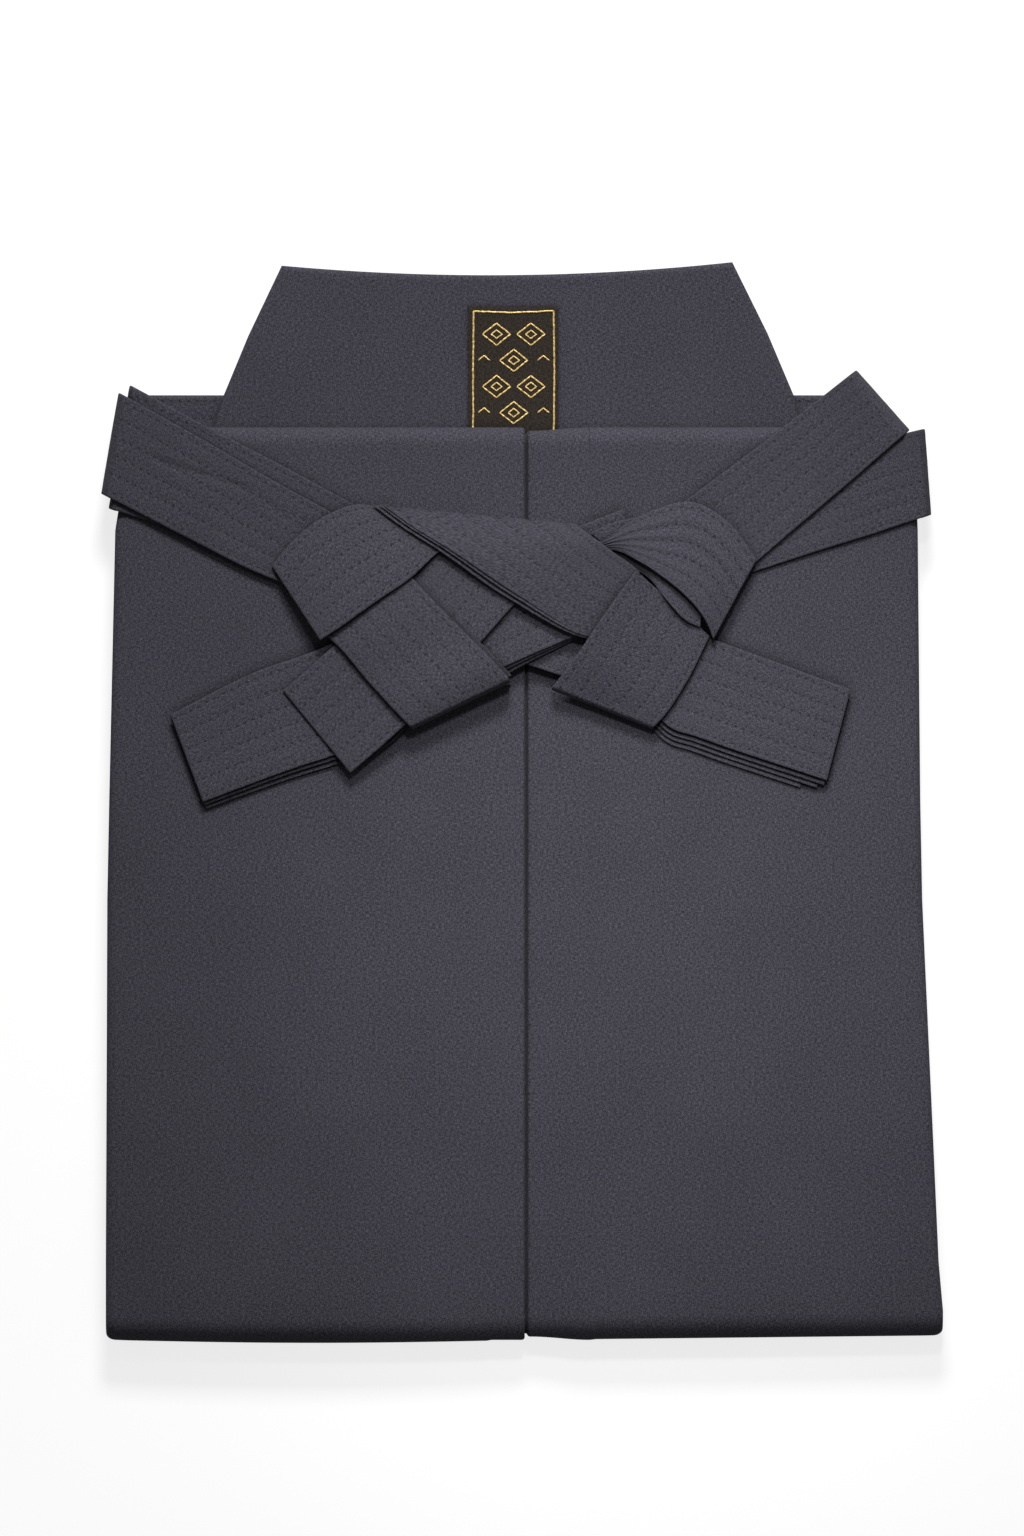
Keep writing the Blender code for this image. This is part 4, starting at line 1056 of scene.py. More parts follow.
# %% Lay the gold thread
def pace(points, step, closed=False):
    """The points of a line, evenly spaced."""
    if closed:
        points = list(points) + [points[0]]
    found = []
    for a, b in zip(points, points[1:]):
        count = max(1, round((b - a).length / step))
        found += [a.lerp(b, k / count) for k in range(count)]
    return found if closed else found + [points[-1]]


THREAD_STEP, BEAD_PACE, THREAD_SIDES = 0.45, 2.3, 6


def laid_thread(line, radius, closed=False):
    """A beaded cord of thread along a line on the label, as a wall of rings."""
    spots = pace([Vector(p) for p in line], THREAD_STEP, closed)
    if closed:
        spots.append(spots[0])
    rings, places, run = [], [], 0.0
    for k, spot in enumerate(spots):
        ahead, behind = spots[min(k + 1, len(spots) - 1)], spots[max(k - 1, 0)]
        along = (ahead - behind).normalized()
        across = Vector((-along.y, along.x))
        wobble = 0.16 * ripple(spot.x, spot.y, 2.6, 17.0)
        bead = radius * (0.80 + 0.30 * abs(math.sin(run * math.pi / BEAD_PACE)))
        if not closed and k in (0, len(spots) - 1):
            bead *= 0.35
        middle = spot + across * wobble
        lift = label_height(middle.x, middle.y) + 0.45 * radius
        ring, flat = [], []
        for s in range(THREAD_SIDES):
            turn = 2 * math.pi * s / THREAD_SIDES
            out = across * (math.cos(turn) * bead)
            ring.append(Vector((middle.x + out.x, middle.y + out.y, lift + math.sin(turn) * bead * 0.75)))
            flat.append((run, s * radius))
        rings.append(ring)
        places.append(flat)
        run += (ahead - spot).length
    return Wall(rings, places)


def lozenge(x, y, half_width, half_height):
    return [(x - half_width, y), (x, y + half_height), (x + half_width, y), (x, y - half_height)]


BORDER = ((-20.0, 146.5), (-20.0, 172.0), (-19.8, 196.7), (-4.0, 196.2), (12.3, 196.9),
          (12.6, 172.0), (12.3, 146.5))
LATTICE_ROWS = (187.5, 177.0, 166.5, 156.0)


def work_label():
    walls = [laid_thread(BORDER, 0.36)]
    for row, y in enumerate(LATTICE_ROWS):
        for x in ((-10.6, 3.2) if row % 2 == 0 else (-3.7,)):
            walls.append(laid_thread(lozenge(x, y, 5.6, 4.4), 0.33, closed=True))
            walls.append(laid_thread(lozenge(x, y, 2.2, 1.7), 0.30, closed=True))
        if row % 2:
            for x in (-15.6, 8.2):
                walls.append(laid_thread([(x - 2.4, y), (x, y + 1.9), (x + 2.4, y)], 0.3))
    piece = cloth_piece("label_gold_thread", walls, GOLD_THREAD)
    return piece


GOLD = work_label()
print("gold lines:", len(GOLD.data.polygons), "faces")

# %% [markdown]
# ## Quilted straps
#
# Each strap is doubled cloth with a stiff strip inside, held by six rows of running stitches. A stitch
# pulls the cloth down, so each row is a shallow channel with a pit at each stitch. The pits are real hollows
# in the mesh: the grid has a column on each row and a line of points at each stitch.
#
# A table has only a few rows, so a smooth curve is laid through them first, and then it is read at an even
# pace. A Blender curve object could do that too, but a strap that narrows, twists and swells needs both of
# its edges led, and a row of the table leads them together.

# %% Read a strap's rows
CURVE_STEPS = 10


def curve_rows(rows):
    """Rows read from a smooth curve through the table's rows, paced by the way between their middles."""
    middles = [Vector((r.upper_x + r.lower_x, r.upper_y + r.lower_y)) / 2 for r in rows]
    ways = [(b - a).length for a, b in zip(middles, middles[1:])]
    slopes = [[(b - a) / way for a, b in zip(near, far)] for near, far, way in zip(rows, rows[1:], ways)]
    tangents = [slopes[0]]
    for k in range(1, len(ways)):
        share = ways[k - 1] / (ways[k - 1] + ways[k])
        tangents.append([a * (1 - share) + b * share for a, b in zip(slopes[k - 1], slopes[k])])
    tangents.append(slopes[-1])
    found = []
    for k, way in enumerate(ways):
        for step in range(CURVE_STEPS):
            t = step / CURVE_STEPS
            start, leave = (1 + 2 * t) * (1 - t) ** 2, t * (1 - t) ** 2 * way
            end, arrive = t * t * (3 - 2 * t), t * t * (t - 1) * way
            found.append(StrapRow(*(
                a * start + m * leave + b * end + n * arrive
                for a, b, m, n in zip(rows[k], rows[k + 1], tangents[k], tangents[k + 1]))))
    found.append(rows[-1])
    return found


def row_middle(row):
    return Vector((row.upper_x + row.lower_x, row.upper_y + row.lower_y, row.upper_z + row.lower_z)) / 2


def evenly(rows, step):
    """The same rows read at an even pace along the strap."""
    middles = [row_middle(r) for r in rows]
    runs = [0.0]
    for a, b in zip(middles, middles[1:]):
        runs.append(runs[-1] + (b - a).length)
    count = max(2, round(runs[-1] / step))
    found, k = [], 0
    for n in range(count + 1):
        run = runs[-1] * n / count
        while k < len(runs) - 2 and runs[k + 1] < run:
            k += 1
        share = (run - runs[k]) / max(runs[k + 1] - runs[k], 1e-9)
        found.append(StrapRow(*(a + (b - a) * share for a, b in zip(rows[k], rows[k + 1]))))
    return found


print("rows every", round(ROW_PACE, 2), "mm")

# %% [markdown]
# ## Over the edge
#
# At the stack's side and at the knot a strap turns down over an edge. On the real one that is a soft bend of
# the doubled cloth. A bend modifier would curve the whole strap, and it would shift the rows of stitches.
# Here only the last rows run round an arc, from the outermost line back, so the flat part stays as it was.

# %% Turn a strap down over an edge
Turn = namedtuple("Turn", "reach upper_drop lower_drop degrees steps")
LEFT_BACK_FOLD = Turn(4.0, 16.6, 16.6, 180.0, 14)
LEFT_FRONT_FOLD = Turn(2.4, 12.4, 12.4, 180.0, 14)
RIGHT_BACK_FOLD = Turn(4.0, 16.6, 16.6, 180.0, 14)
RIGHT_FRONT_FOLD = Turn(3.2, 12.4, 12.4, 180.0, 14)
LEFT_PASS_FOLD = Turn(1.8, 11.0, 12.6, 96.0, 9)
RIGHT_PASS_FOLD = Turn(1.8, 6.8, 5.4, 96.0, 9)


def turned_rows(rows, turn, lift):
    """Rows that run to the last one's outermost line and turn down there, and how many lie flat."""
    edge, before = rows[-1], rows[-2]
    upper_way = Vector((edge.upper_x - before.upper_x, edge.upper_y - before.upper_y)).normalized()
    lower_way = Vector((edge.lower_x - before.lower_x, edge.lower_y - before.lower_y)).normalized()

    def shifted(inwards, share):
        upper_x, upper_y = Vector((edge.upper_x, edge.upper_y)) - upper_way * inwards
        lower_x, lower_y = Vector((edge.lower_x, edge.lower_y)) - lower_way * inwards
        return StrapRow(upper_x, upper_y, edge.upper_z - turn.upper_drop * share,
                        lower_x, lower_y, edge.lower_z - turn.lower_drop * share, edge.swell)

    flat = evenly(curve_rows(list(rows[:-1]) + [shifted(turn.reach + lift, 0.0)]), ROW_PACE)
    arc = []
    for k in range(1, turn.steps + 1):
        angle = math.radians(turn.degrees) * k / turn.steps
        arc.append(shifted(turn.reach * (1 - math.sin(angle)) + lift, (1 - math.cos(angle)) / 2))
    return flat + arc, len(flat)


print("a back strap drops", LEFT_BACK_FOLD.upper_drop, "mm at the stack's side")

# %% [markdown]
# ## One layer of a strap
#
# The face of a strap is uneven in three ways: it puckers along the stitches, it waves a little over its
# length, and a strap that is pulled tight has long folds. Displacement could make all of that from a picture,
# but the edge has to stay firm and rounded. So each ring of points goes once round the strap, and only the
# points of its face move. Layers further down show nothing but an edge, so they get a few points there.

# %% Shape one layer of a strap
Stitch = namedtuple("Stitch", "spot along up")
Band = namedtuple("Band", "share width height")
CHANNEL_DEPTH, SHOULDER_DEPTH, PIT_DEPTH = 0.11, 0.03, 0.2
EDGE_TOP = ((0.0, 0.0, 0.0), (0.0, 0.10, 0.52), (0.0, 0.35, 0.86))
EDGE_UNDER = ((1.0, -0.10, -0.52), (1.0, -0.40, -0.90), (0.98, 0.0, -1.0), (0.968, 0.0, -1.0),
              (0.956, 0.0, -1.0), (0.72, 0.0, -1.0), (0.5, 0.0, -1.0), (0.28, 0.0, -1.0),
              (0.0, 0.40, -0.90), (0.0, 0.10, -0.52))
LAYER_COLUMNS = (0.1, 0.25, 0.4, 0.55, 0.7, 0.82, 0.9, 0.94, 0.956, 0.964, 0.972, 0.98, 0.99)
ROLL_START, ROLL_SPAN = 0.956, 0.022


def quilt_relief(column, row, run, across, seed, quilted, bands=()):
    """How far the strap's face stands above or below its plain form."""
    pucker = 0.06 * noise.noise(Vector((run / 5.0, across / 3.0, seed)))
    wave = 0.12 * noise.noise(Vector((run / 22.0, across / 26.0, seed + 4.0)))
    relief = pucker + wave - 0.04
    share = column / STITCH_COLUMNS
    for band in bands:
        bend = 0.02 * noise.noise(Vector((run / 20.0, band.share * 9, seed)))
        relief += band.height * math.exp(-((share - band.share - bend) / band.width) ** 2)
    if quilted:
        for line, at in enumerate(STITCH_LINES):
            if abs(column - at) <= 1:
                relief -= CHANNEL_DEPTH if column == at else SHOULDER_DEPTH
            if column == at and (row + 2 * line) % STITCH_ROWS == 0:
                relief -= PIT_DEPTH
    return relief


def strap_wall(rows, thickness, seed, scales=None, flat_count=None, marks=(), bands=(), layer_lift=None):
    """A strap layer as a wall of rings, with the stitches that lie on it. A layer_lift makes it a hidden
    layer without stitches, whose lower edge rolls up by that much."""
    middles = [row_middle(r) for r in rows]
    quilted = layer_lift is None
    columns = [k / STITCH_COLUMNS for k in range(1, STITCH_COLUMNS)] if quilted else LAYER_COLUMNS
    flat_count = flat_count or len(rows)
    rings, places, stitches, frames, run = [], [], [], [], 0.0
    for k, row in enumerate(rows):
        across = Vector((row.lower_x - row.upper_x, row.lower_y - row.upper_y, row.lower_z - row.upper_z))
        along = (middles[min(k + 1, len(rows) - 1)] - middles[max(k - 1, 0)]).normalized()
        frames.append((along, across.normalized(), along.cross(across).normalized(), across.length))
    facing = 1 if frames[flat_count // 2][2].z > 0 else -1
    for k, row in enumerate(rows):
        along, across, normal, width = frames[k]
        normal = normal * facing
        upper, lower = Vector(row[:3]), Vector(row[3:6])
        scale = scales[k] if scales else 1.0
        half = thickness / 2 * scale
        on_flat = quilted and 0 < k < flat_count - 1
        run += (middles[k] - middles[max(k - 1, 0)]).length
        along_cloth = k * ROW_PACE if k < flat_count else along_cloth + (middles[k] - middles[k - 1]).length
        ring, flat = [], []

        def add(share, offset, height, relief=0.0):
            spot = upper.lerp(lower, share) + across * offset
            if marks and height > 0:
                relief -= mark_depth(marks, spot.x, spot.y)
            if layer_lift:
                relief += layer_lift * smooth_step((share - ROLL_START) / ROLL_SPAN)
            spot += normal * (height * half + row.swell * 4 * share * (1 - share) + relief)
            ring.append(spot)
            flat.append((along_cloth, share * STRAP_WIDTH))
            return spot

        for share, offset, height in EDGE_TOP:
            add(share, offset, height)
        for column, share in enumerate(columns, 1):
            relief = quilt_relief(column, k, run, share * width, seed, on_flat, bands)
            spot = add(share, 0.0, 1.0, relief * scale)
            line = STITCH_LINES.index(column) if quilted and column in STITCH_LINES else None
            if line is not None and on_flat and (k + 2 * line) % STITCH_ROWS == 0:
                stitches.append(Stitch(spot, along, normal))
        for share, offset, height in EDGE_TOP[::-1]:
            add(1 - share, -offset, height)
        for share, offset, height in EDGE_UNDER:
            add(share, offset, height)
        rings.append(ring)
        places.append(flat)
    return Wall(rings, places), stitches, run


print("points round a strap:", 2 * len(EDGE_TOP) + len(EDGE_UNDER) + STITCH_COLUMNS - 1)

# %% [markdown]
# ## The stitches
#
# Between two pits the thread runs inside the strap, so only a short piece of it shows in each pit. Dots in
# the colour alone would look flat from near by. Each stitch is a small spindle of thread, thin at both ends
# where it dives into the cloth, and all those of one strap are one piece.

# %% Lay the stitches
STITCH_HALF, STITCH_RADIUS, STITCH_SIDES, STITCH_LIFT = 0.58, 0.16, 4, 0.06


def stitch_spindle(stitch):
    """One short dark thread, lying in its pit."""
    side = stitch.along.cross(stitch.up).normalized()
    rings, places = [], []
    for way, thick in ((-1.0, 0.3), (-0.55, 1.0), (0.55, 1.0), (1.0, 0.3)):
        lift = STITCH_LIFT - STITCH_LIFT * abs(way)
        middle = stitch.spot + stitch.along * (way * STITCH_HALF) + stitch.up * lift
        ring = []
        for s in range(STITCH_SIDES):
            turn = 2 * math.pi * s / STITCH_SIDES
            out = side * math.cos(turn) + stitch.up * math.sin(turn)
            ring.append(middle + out * (STITCH_RADIUS * thick))
        rings.append(ring)
        places.append([(way * STITCH_HALF, s * 0.2) for s in range(STITCH_SIDES)])
    return Wall(rings, places)


def lay_stitches(name, stitches):
    piece = cloth_piece(name, [stitch_spindle(stitch) for stitch in stitches], DARK_THREAD)
    return piece


print("a stitch shows", round(2 * STITCH_HALF, 1), "mm of thread")

# %% [markdown]
# ## Ends that are folds
#
# Where a strap is folded back on itself, its end is no cut but a flattened bend. A bevel would round it, but
# evenly, and it would spoil the grid. A few more rows near the end, each one thinner, give the same bend.

# %% Round off an end
END_REACH = 0.7
END_PARTS = (1.0, 0.55, 0.22, 0.05, 0.0)
END_SCALES = (1.0, 0.88, 0.62, 0.34, 0.12)


def rounded_ends(rows, at_start, at_end):
    """Extra rows and thickness scales that round a strap's ends, as a flattened fold does."""
    scales, thins = [1.0] * len(rows), list(END_SCALES)
    reaches = [END_REACH * part for part in END_PARTS]

    def extra(last, before):
        away = (row_middle(last) - row_middle(before)).length
        return [StrapRow(*(b + (a - b) * inwards / away for a, b in zip(before, last)))
                for inwards in reaches]

    if at_end:
        rows = rows[:-1] + extra(rows[-1], rows[-2])
        scales = scales[:-1] + thins
    if at_start:
        rows = extra(rows[0], rows[1])[::-1] + rows[1:]
        scales = thins[::-1] + scales[1:]
    return rows, scales


print("rows in a rounded end:", len(END_PARTS))


# %% Finish a strap
def finish_strap(name, walls, stitches, length, node, layers=1):
    piece = cloth_piece(name, walls, STRAP_CLOTH)
    sewn = lay_stitches(node + "_stitches", stitches)
    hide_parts(node)
    print(node, round(length * layers), "mm of strap,", len(stitches), "stitches")
    return piece


print("a finished strap states its own cut, as wide as", STRAP_WIDTH, "mm")

# %% [markdown]
# ## Flat stretches and turned stretches
#
# Some stretches lie flat and end under another one, and some turn down over an edge. Both could be one
# function with many options. Two short ones are easier to read, and each sets only what it needs.

# %% Lay a strap flat, or over an edge
def shift_row(row, lower_out, upper_in, drop):
    across = Vector((row.lower_x - row.upper_x, row.lower_y - row.upper_y)).normalized()
    return row._replace(
        upper_x=row.upper_x + across.x * upper_in, upper_y=row.upper_y + across.y * upper_in,
        lower_x=row.lower_x + across.x * lower_out, lower_y=row.lower_y + across.y * lower_out,
        upper_z=row.upper_z - drop, lower_z=row.lower_z - drop)


def lay_strap(node, rows, seed, start=False, end=False, bands=()):
    """A stretch that lies flat; start and end say which ends are folds."""
    fine, scales = rounded_ends(evenly(curve_rows(rows), ROW_PACE), start, end)
    wall, stitches, length = strap_wall(fine, STRAP_THICKNESS, seed, scales, bands=bands)
    return finish_strap(node + "_cloth", [wall], stitches, length, node)


HEM_SET_BACK, HEM_DROP, HEM_THICKNESS, HEM_LIFT = 31.0, 1.05, 0.7, 0.1


def turn_strap(node, rows, turn, seed, marks=(), hem_out=0.0):
    """A stretch that turns down over an edge at its first row. hem_out shows a second edge under it."""
    fine, flat_count = turned_rows(list(rows)[::-1], turn, STRAP_THICKNESS / 2)
    wall, stitches, length = strap_wall(fine, STRAP_THICKNESS, seed, flat_count=flat_count, marks=marks)
    walls = [wall]
    if hem_out:
        hem = [shift_row(row, hem_out, HEM_SET_BACK, HEM_DROP) for row in fine[:flat_count]]
        walls.append(strap_wall(hem, HEM_THICKNESS, seed + 1, layer_lift=HEM_LIFT)[0])
    return finish_strap(node + "_cloth", walls, stitches, length, node)


print("a second edge shows", HEM_DROP, "mm further down")

# %% [markdown]
# ## A pack of layers
#
# The front straps are long, and what isn't needed is folded back and forth into a flat pack. Its layers
# never lie exactly on each other: along one edge they fan out, and they end one after the other. An Array
# modifier would repeat one layer evenly. Here each layer is a wall of its own with its own shift, and the
# fan opens and closes along the way, so no two edges run alike.

# %% Fold a strap in layers
Layer = namedtuple("Layer", "top bottom lower_out upper_in end_out lift")
END_CLEARANCE = 0.5


def spread_at(spread, share):
    """How far the layers fan out at a share of the way: spread gives the start, the middle and the end."""
    if share < 0.5:
        return spread[0] + (spread[1] - spread[0]) * smooth_step(share * 2)
    return spread[1] + (spread[2] - spread[1]) * smooth_step(share * 2 - 1)


def stack_strap(node, rows, thickness, layers, seed, spread, start=False, end=True, thin_to=1.0):
    """A strap zigzagged on itself: each lower layer reaches out a little further."""
    fine = evenly(curve_rows(rows), ROW_PACE)
    thin = [1 + (thin_to - 1) * smooth_step(2 * n / (len(fine) - 1) - 1) for n in range(len(fine))]
    walls, stitches, longest = [], [], 0.0
    for k, layer in enumerate(layers):
        level = thickness * (0.5 - (layer.top + layer.bottom) / 2)
        moved = []
        for n, (row, t) in enumerate(zip(fine, thin)):
            fan = (layer.lower_out - layers[0].lower_out) * spread_at(spread, n / (len(fine) - 1))
            moved.append(shift_row(row, layers[0].lower_out + fan, layer.upper_in, -level * t))
        ahead = moved[-1]
        while (row_middle(ahead) - row_middle(moved[-1])).length < END_CLEARANCE - layer.end_out:
            moved.pop()
        away = (row_middle(ahead) - row_middle(moved[-1])).length
        reach = (away + layer.end_out) / away
        moved.append(StrapRow(*(a + (b - a) * reach for a, b in zip(moved[-1], ahead))))
        moved, scales = rounded_ends(moved, start, end)
        scales = [s * thin[min(n, len(thin) - 1)] for n, s in enumerate(scales)]
        layer_thickness = thickness * (layer.bottom - layer.top)
        lift = layer.lift if k else None
        wall, sewn, length = strap_wall(moved, layer_thickness, seed + k, scales, layer_lift=lift)
        walls.append(wall)
        stitches += sewn
        longest = max(longest, length)
    return finish_strap(node + "_cloth", walls, stitches, longest, node, len(layers))


print("a bundle shows 3 or 4 of its layers")

# %% [markdown]
# ## The knot, from the cloth upwards
#
# The front straps go first: each is folded into a pack and laid as one arm of a cross. The back straps come
# in from the sides over them, are passed under and over the cross, and end on top. A cloth simulation could
# drape them, but these straps are pressed flat, with nothing left to fall. The order below is the order of
# their heights.

# %% Lay the front straps
LEFT_BUNDLE = stack_strap(
    "left_front_strap_bundle", LEFT_FRONT_BUNDLE, BUNDLE_THICKNESS,
    (Layer(0.00, 0.24, -1.6, 0.0, 0.0, 0.0), Layer(0.50, 0.62, 0.5, 0.3, -0.6, 0.6),
     Layer(0.70, 0.81, 2.4, 0.3, -3.0, 0.5), Layer(0.88, 1.0, 4.4, 0.4, -9.0, 0.4)),
    21.0, (-0.9, 1.0, 1.0))
RIGHT_BUNDLE = stack_strap(
    "right_front_strap_bundle", RIGHT_FRONT_BUNDLE, BUNDLE_THICKNESS,
    (Layer(0.00, 0.26, -2.6, 0.0, 0.0, 0.0), Layer(0.60, 0.74, -0.9, 0.2, -0.4, 0.9),
     Layer(0.82, 1.0, 1.2, 0.4, -0.2, 0.5)),
    31.0, (0.0, 1.1, 0.8))
LEFT_RUN = turn_strap("left_front_strap_run", LEFT_FRONT_RUN, LEFT_FRONT_FOLD, 41.0)
RIGHT_RUN = turn_strap("right_front_strap_run", RIGHT_FRONT_RUN, RIGHT_FRONT_FOLD, 43.0)

# %% Lay the back straps
LEFT_CREASES = (
    PressMark(-146.0, 136.8, -128.0, 130.5, 1.2, 0.55),
    PressMark(-128.5, 131.2, -111.0, 125.2, 1.1, 0.42),
    PressMark(-101.5, 117.5, -86.0, 108.0, 1.2, 0.36),
)
LEFT_BACK = turn_strap("left_back_strap_run", LEFT_BACK_RUN, LEFT_BACK_FOLD, 45.0,
                       LEFT_CREASES)
RIGHT_BACK = turn_strap("right_back_strap_run", RIGHT_BACK_RUN, RIGHT_BACK_FOLD, 47.0)
TAIL = lay_strap("right_back_strap_tail", RIGHT_BACK_TAIL, 51.0, start=True)
PASS = turn_strap("left_back_strap_pass", LEFT_BACK_PASS[::-1], LEFT_PASS_FOLD, 53.0,
                  hem_out=1.6)
WRAP = lay_strap("left_back_strap_wrap", LEFT_BACK_WRAP, 55.0, start=True)
WRAP_UNDER = lay_strap("right_back_strap_wrap_under", RIGHT_BACK_WRAP_UNDER, 57.0)
PULLED_FOLDS = (
    Band(0.20, 0.05, 0.42), Band(0.36, 0.06, 0.52), Band(0.55, 0.06, 0.45), Band(0.72, 0.05, 0.30))
lay_strap("right_back_strap_wrap_over", RIGHT_BACK_WRAP_OVER, 59.0, end=True,
          bands=PULLED_FOLDS)

# %% Close the knot
TOP = stack_strap(
    "left_back_strap_top", LEFT_BACK_TOP, KNOT_TOP_THICKNESS,
    (Layer(0.00, 0.24, -3.4, 0.0, 0.0, 0.0), Layer(0.50, 0.60, -1.5, 0.1, 0.0, 0.6),
     Layer(0.85, 1.0, 1.3, 0.3, 0.0, 0.5)),
    61.0, (1.0, 0.9, 0.35), start=True, end=False, thin_to=0.55)
turn_strap("right_back_strap_pass", RIGHT_BACK_PASS[::-1], RIGHT_PASS_FOLD, 63.0)

# %% [markdown]
# ## The back straps' roots
#
# The back straps leave the board's lower corners and lie on the table, mostly under the stack. A strip of
# each shows beside the board. The table of a strap could be used again, but a root's near end follows the
# board's slanting side, so each of its rows is led from there.

# %% Sew the roots
def strap_root(name, side, far_x):
    rings, places = [], []
    for n in range(29):
        share = n / 28
        ring, flat = [], []
        for k in range(19):
            y = BOARD_BASE_Y + (ROOT_TOP_Y - BOARD_BASE_Y) * k / 18
            board_share = (y - BOARD_BASE_Y) / (BOARD_TOP_LEFT_Y - BOARD_BASE_Y)
            near_x = board_edge(board_share, name) - side * 0.05
            x = near_x + (far_x - near_x) * share
            fall = rim_fall(min(y - BOARD_BASE_Y, ROOT_TOP_Y - y), 1.0, 0.9)
            groove = 0.18 if k in (15, 9, 3) else 0.0
            ring.append(Vector((x, y, ROOT_THICKNESS - fall - groove)))
            flat.append((x, y - ROOT_TOP_Y + STRAP_WIDTH))
        under = [Vector((p.x, p.y, min(ROOT_THICKNESS - p.z, 0.9))) for p in ring]
        rings.append(ring + under[::-1])
        places.append(flat + flat[::-1])
    node = "back_strap_root_" + name
    piece = cloth_piece(node + "_cloth", [Wall(rings, places)], STRAP_CLOTH, ladder=True)
    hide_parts(node)
    return piece


LEFT_ROOT = strap_root("left", -1, LEFT_ROOT_END_X)
RIGHT_ROOT = strap_root("right", 1, RIGHT_ROOT_END_X)
print("roots laid:", 2)

# %% [markdown]
# ## The cloth is all laid

# The whole garment's cut is in the report.

# %% Say that the cloth is laid
print("all cloth laid")

# %% [markdown]
# ## The table
#
# The garment lies on a white table. It glows a little, for the camera only. A brighter table would look as
# white, but it would throw light on the folded edges, which are dark in a studio.

# %% Set the table
TABLE_REACH, TABLE_LEVEL = 3.0, -0.2 * MM
TABLE_TONE, TABLE_GLOW = 0.35, 0.78


def white_table():
    mesh = bpy.data.meshes.new("table_top")
    corners = ((-1, -1), (1, -1), (1, 1), (-1, 1))
    mesh.from_pydata([(x * TABLE_REACH, y * TABLE_REACH, TABLE_LEVEL) for x, y in corners], [],
                     [(0, 1, 2, 3)])
    floor = bpy.data.objects.new("floor", mesh)
    bpy.context.scene.collection.objects.link(floor)
    paper = bpy.data.materials.new("white_paper")
    paper.use_nodes = True
    shader = paper.node_tree.nodes["Principled BSDF"]
    shader.inputs["Base Color"].default_value = (TABLE_TONE, TABLE_TONE, TABLE_TONE, 1.0)
    shader.inputs["Roughness"].default_value = 0.9
    shader.inputs["Specular IOR Level"].default_value = 0.1
    shader.inputs["Emission Color"].default_value = (1.0, 1.0, 1.0, 1.0)
    seen = paper.node_tree.nodes.new("ShaderNodeLightPath")
    lift = paper.node_tree.nodes.new("ShaderNodeMath")
    lift.operation = "MULTIPLY"
    lift.inputs[1].default_value = TABLE_GLOW
    paper.node_tree.links.new(seen.outputs["Is Camera Ray"], lift.inputs[0])
    paper.node_tree.links.new(lift.outputs[0], shader.inputs["Emission Strength"])
    mesh.materials.append(paper)
    floor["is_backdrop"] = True


white_table()
print("table", 2 * TABLE_REACH, "m wide")

# %% [markdown]
# ## The light
#
# One soft light stands beyond the back board, so the straps' shadows fall towards the folded bottom edge.
# Were it overhead, it would reach into every fold and flatten them all. A lamp with a soft cone brightens
# the middle of the cloth, and a faint white sky fills the shadows.

# %% Light it
SKY_STRENGTH = 0.14


def hang(data, spot, target):
    """Hang a lamp at a spot and turn it to its target."""
    lamp = bpy.data.objects.new(data.name, data)
    bpy.context.scene.collection.objects.link(lamp)
    lamp.location = spot
    lamp.rotation_euler = (Vector(target) - Vector(spot)).to_track_quat("-Z", "Y").to_euler()
    return lamp


def soft_light(name, spot, target, width, height, watts):
    data = bpy.data.lights.new(name, "AREA")
    data.shape = "RECTANGLE"
    data.size, data.size_y = width, height
    data.energy = watts
    hang(data, spot, target).visible_camera = False


def glow(name, spot, target, width, softness, watts):
    """A lamp with a soft-edged cone, as wide as given where it meets its target."""
    data = bpy.data.lights.new(name, "SPOT")
    data.spot_size = 2 * math.atan(width / 2 / (Vector(target) - Vector(spot)).length)
    data.spot_blend = 1.0
    data.shadow_soft_size = softness
    data.energy = watts
    hang(data, spot, target)


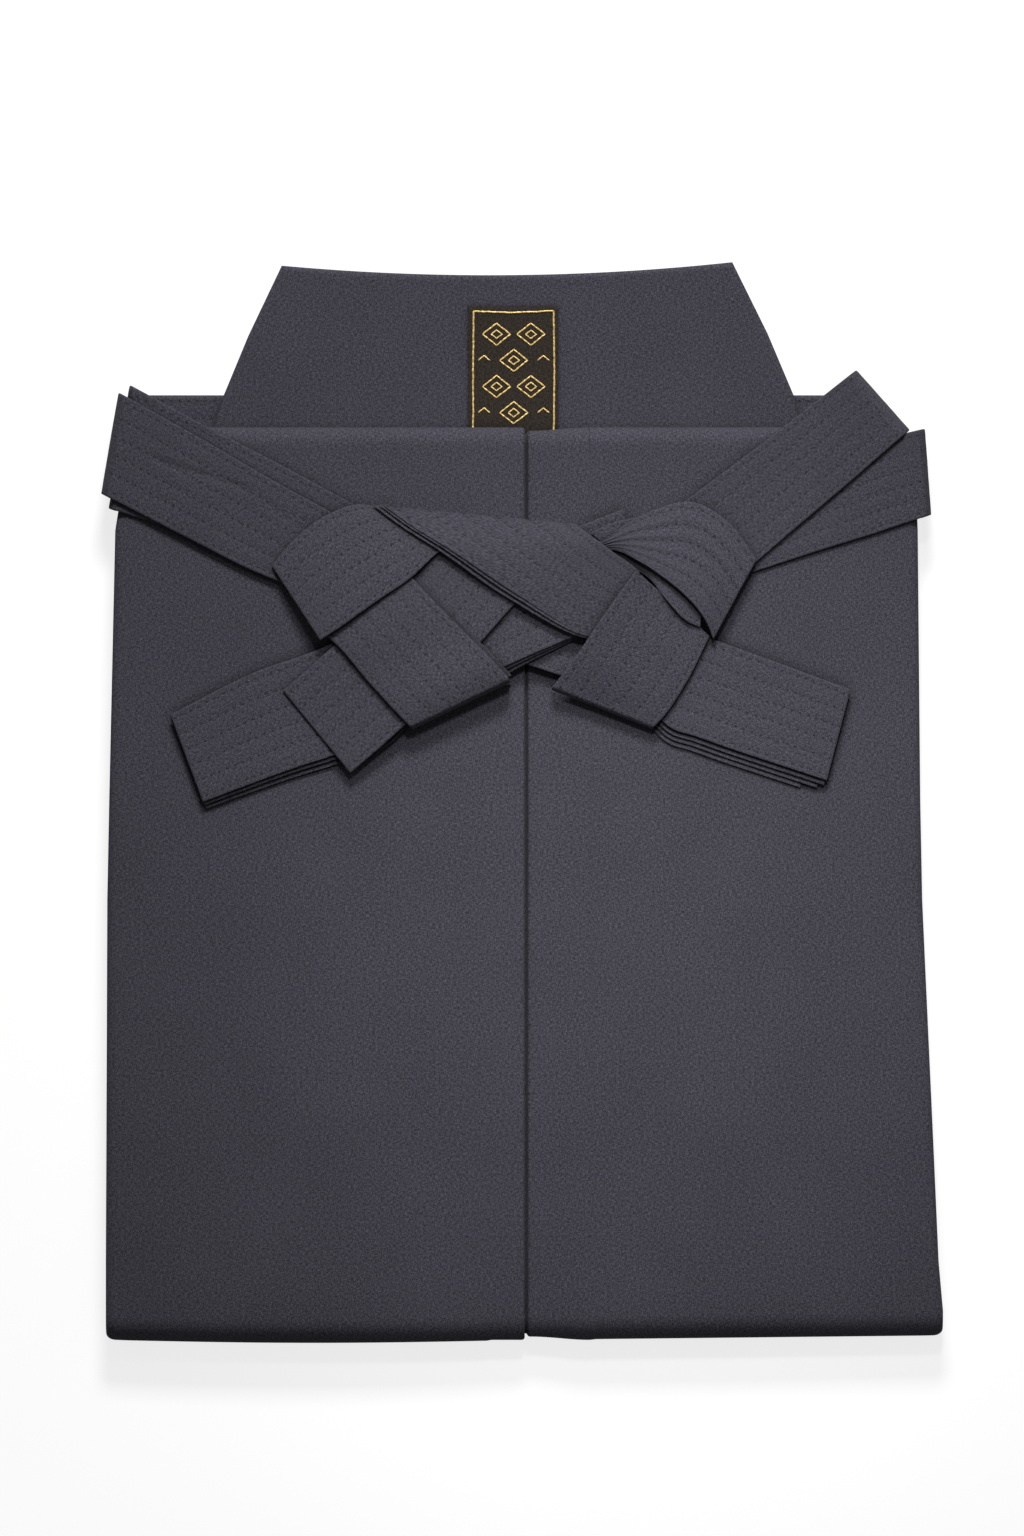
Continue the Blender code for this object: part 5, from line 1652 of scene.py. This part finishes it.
soft_light("key", spot=(0.02, 1.30, 0.98), target=(0.0, 0.0, 0.0), width=0.46, height=0.30, watts=24.0)
glow("glow", spot=(0.08, 0.65, 1.15), target=(0.050, -0.055, 0.0), width=0.47, softness=0.09, watts=37.0)
sky = bpy.data.worlds.new("studio")
bpy.context.scene.world = sky
sky.use_nodes = True
background = sky.node_tree.nodes["Background"]
background.inputs["Color"].default_value = (1.0, 1.0, 1.0, 1.0)
background.inputs["Strength"].default_value = SKY_STRENGTH
bpy.context.scene.view_settings.view_transform = "Standard"
print("lamps:", len(bpy.data.lights))

# %% [markdown]
# ## The camera
#
# The picture was taken from straight above and from far enough away that the garment's sides hardly lean
# outwards. An orthographic camera would show no lean at all. A long lens 5 m up shows the little there is.
# The lens follows from the height of the frame on the stack's face.

# %% Place the camera
CAMERA_HEIGHT = 5.0
SENSOR_WIDTH = 36.0
MM_PER_PIXEL = 0.4
PHOTO_WIDTH, PHOTO_HEIGHT = 1024, 1536
ORIGIN_COLUMN, ORIGIN_ROW = 523, 802
FRAME_HEIGHT = PHOTO_HEIGHT * MM_PER_PIXEL * MM
CAMERA_X = (PHOTO_WIDTH / 2 - ORIGIN_COLUMN) * MM_PER_PIXEL * MM
CAMERA_Y = (ORIGIN_ROW - PHOTO_HEIGHT / 2) * MM_PER_PIXEL * MM
lens = bpy.data.cameras.new("camera")
lens.sensor_width = SENSOR_WIDTH
lens.lens = SENSOR_WIDTH * (CAMERA_HEIGHT - STACK_HEIGHT * MM) / FRAME_HEIGHT
lens.clip_end = 20.0
camera = bpy.data.objects.new("camera", lens)
bpy.context.scene.collection.objects.link(camera)
camera.location = (CAMERA_X - MIDDLE.x * MM, CAMERA_Y - MIDDLE.y * MM, CAMERA_HEIGHT)
bpy.context.scene.camera = camera
bpy.context.view_layer.update()
print("lens", round(lens.lens), "mm")

# %% [markdown]
# ## Compare the sizes, and finish
#
# The dressed model must keep the CAD model's size, so both boxes are written down side by side.

# %% Write the sizes down
LOW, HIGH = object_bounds()
for title, low, high in (("CAD", CAD_LOW, CAD_HIGH), ("dressed", LOW, HIGH)):
    print(title, [round(v * 1000, 1) for v in high - low], "mm")
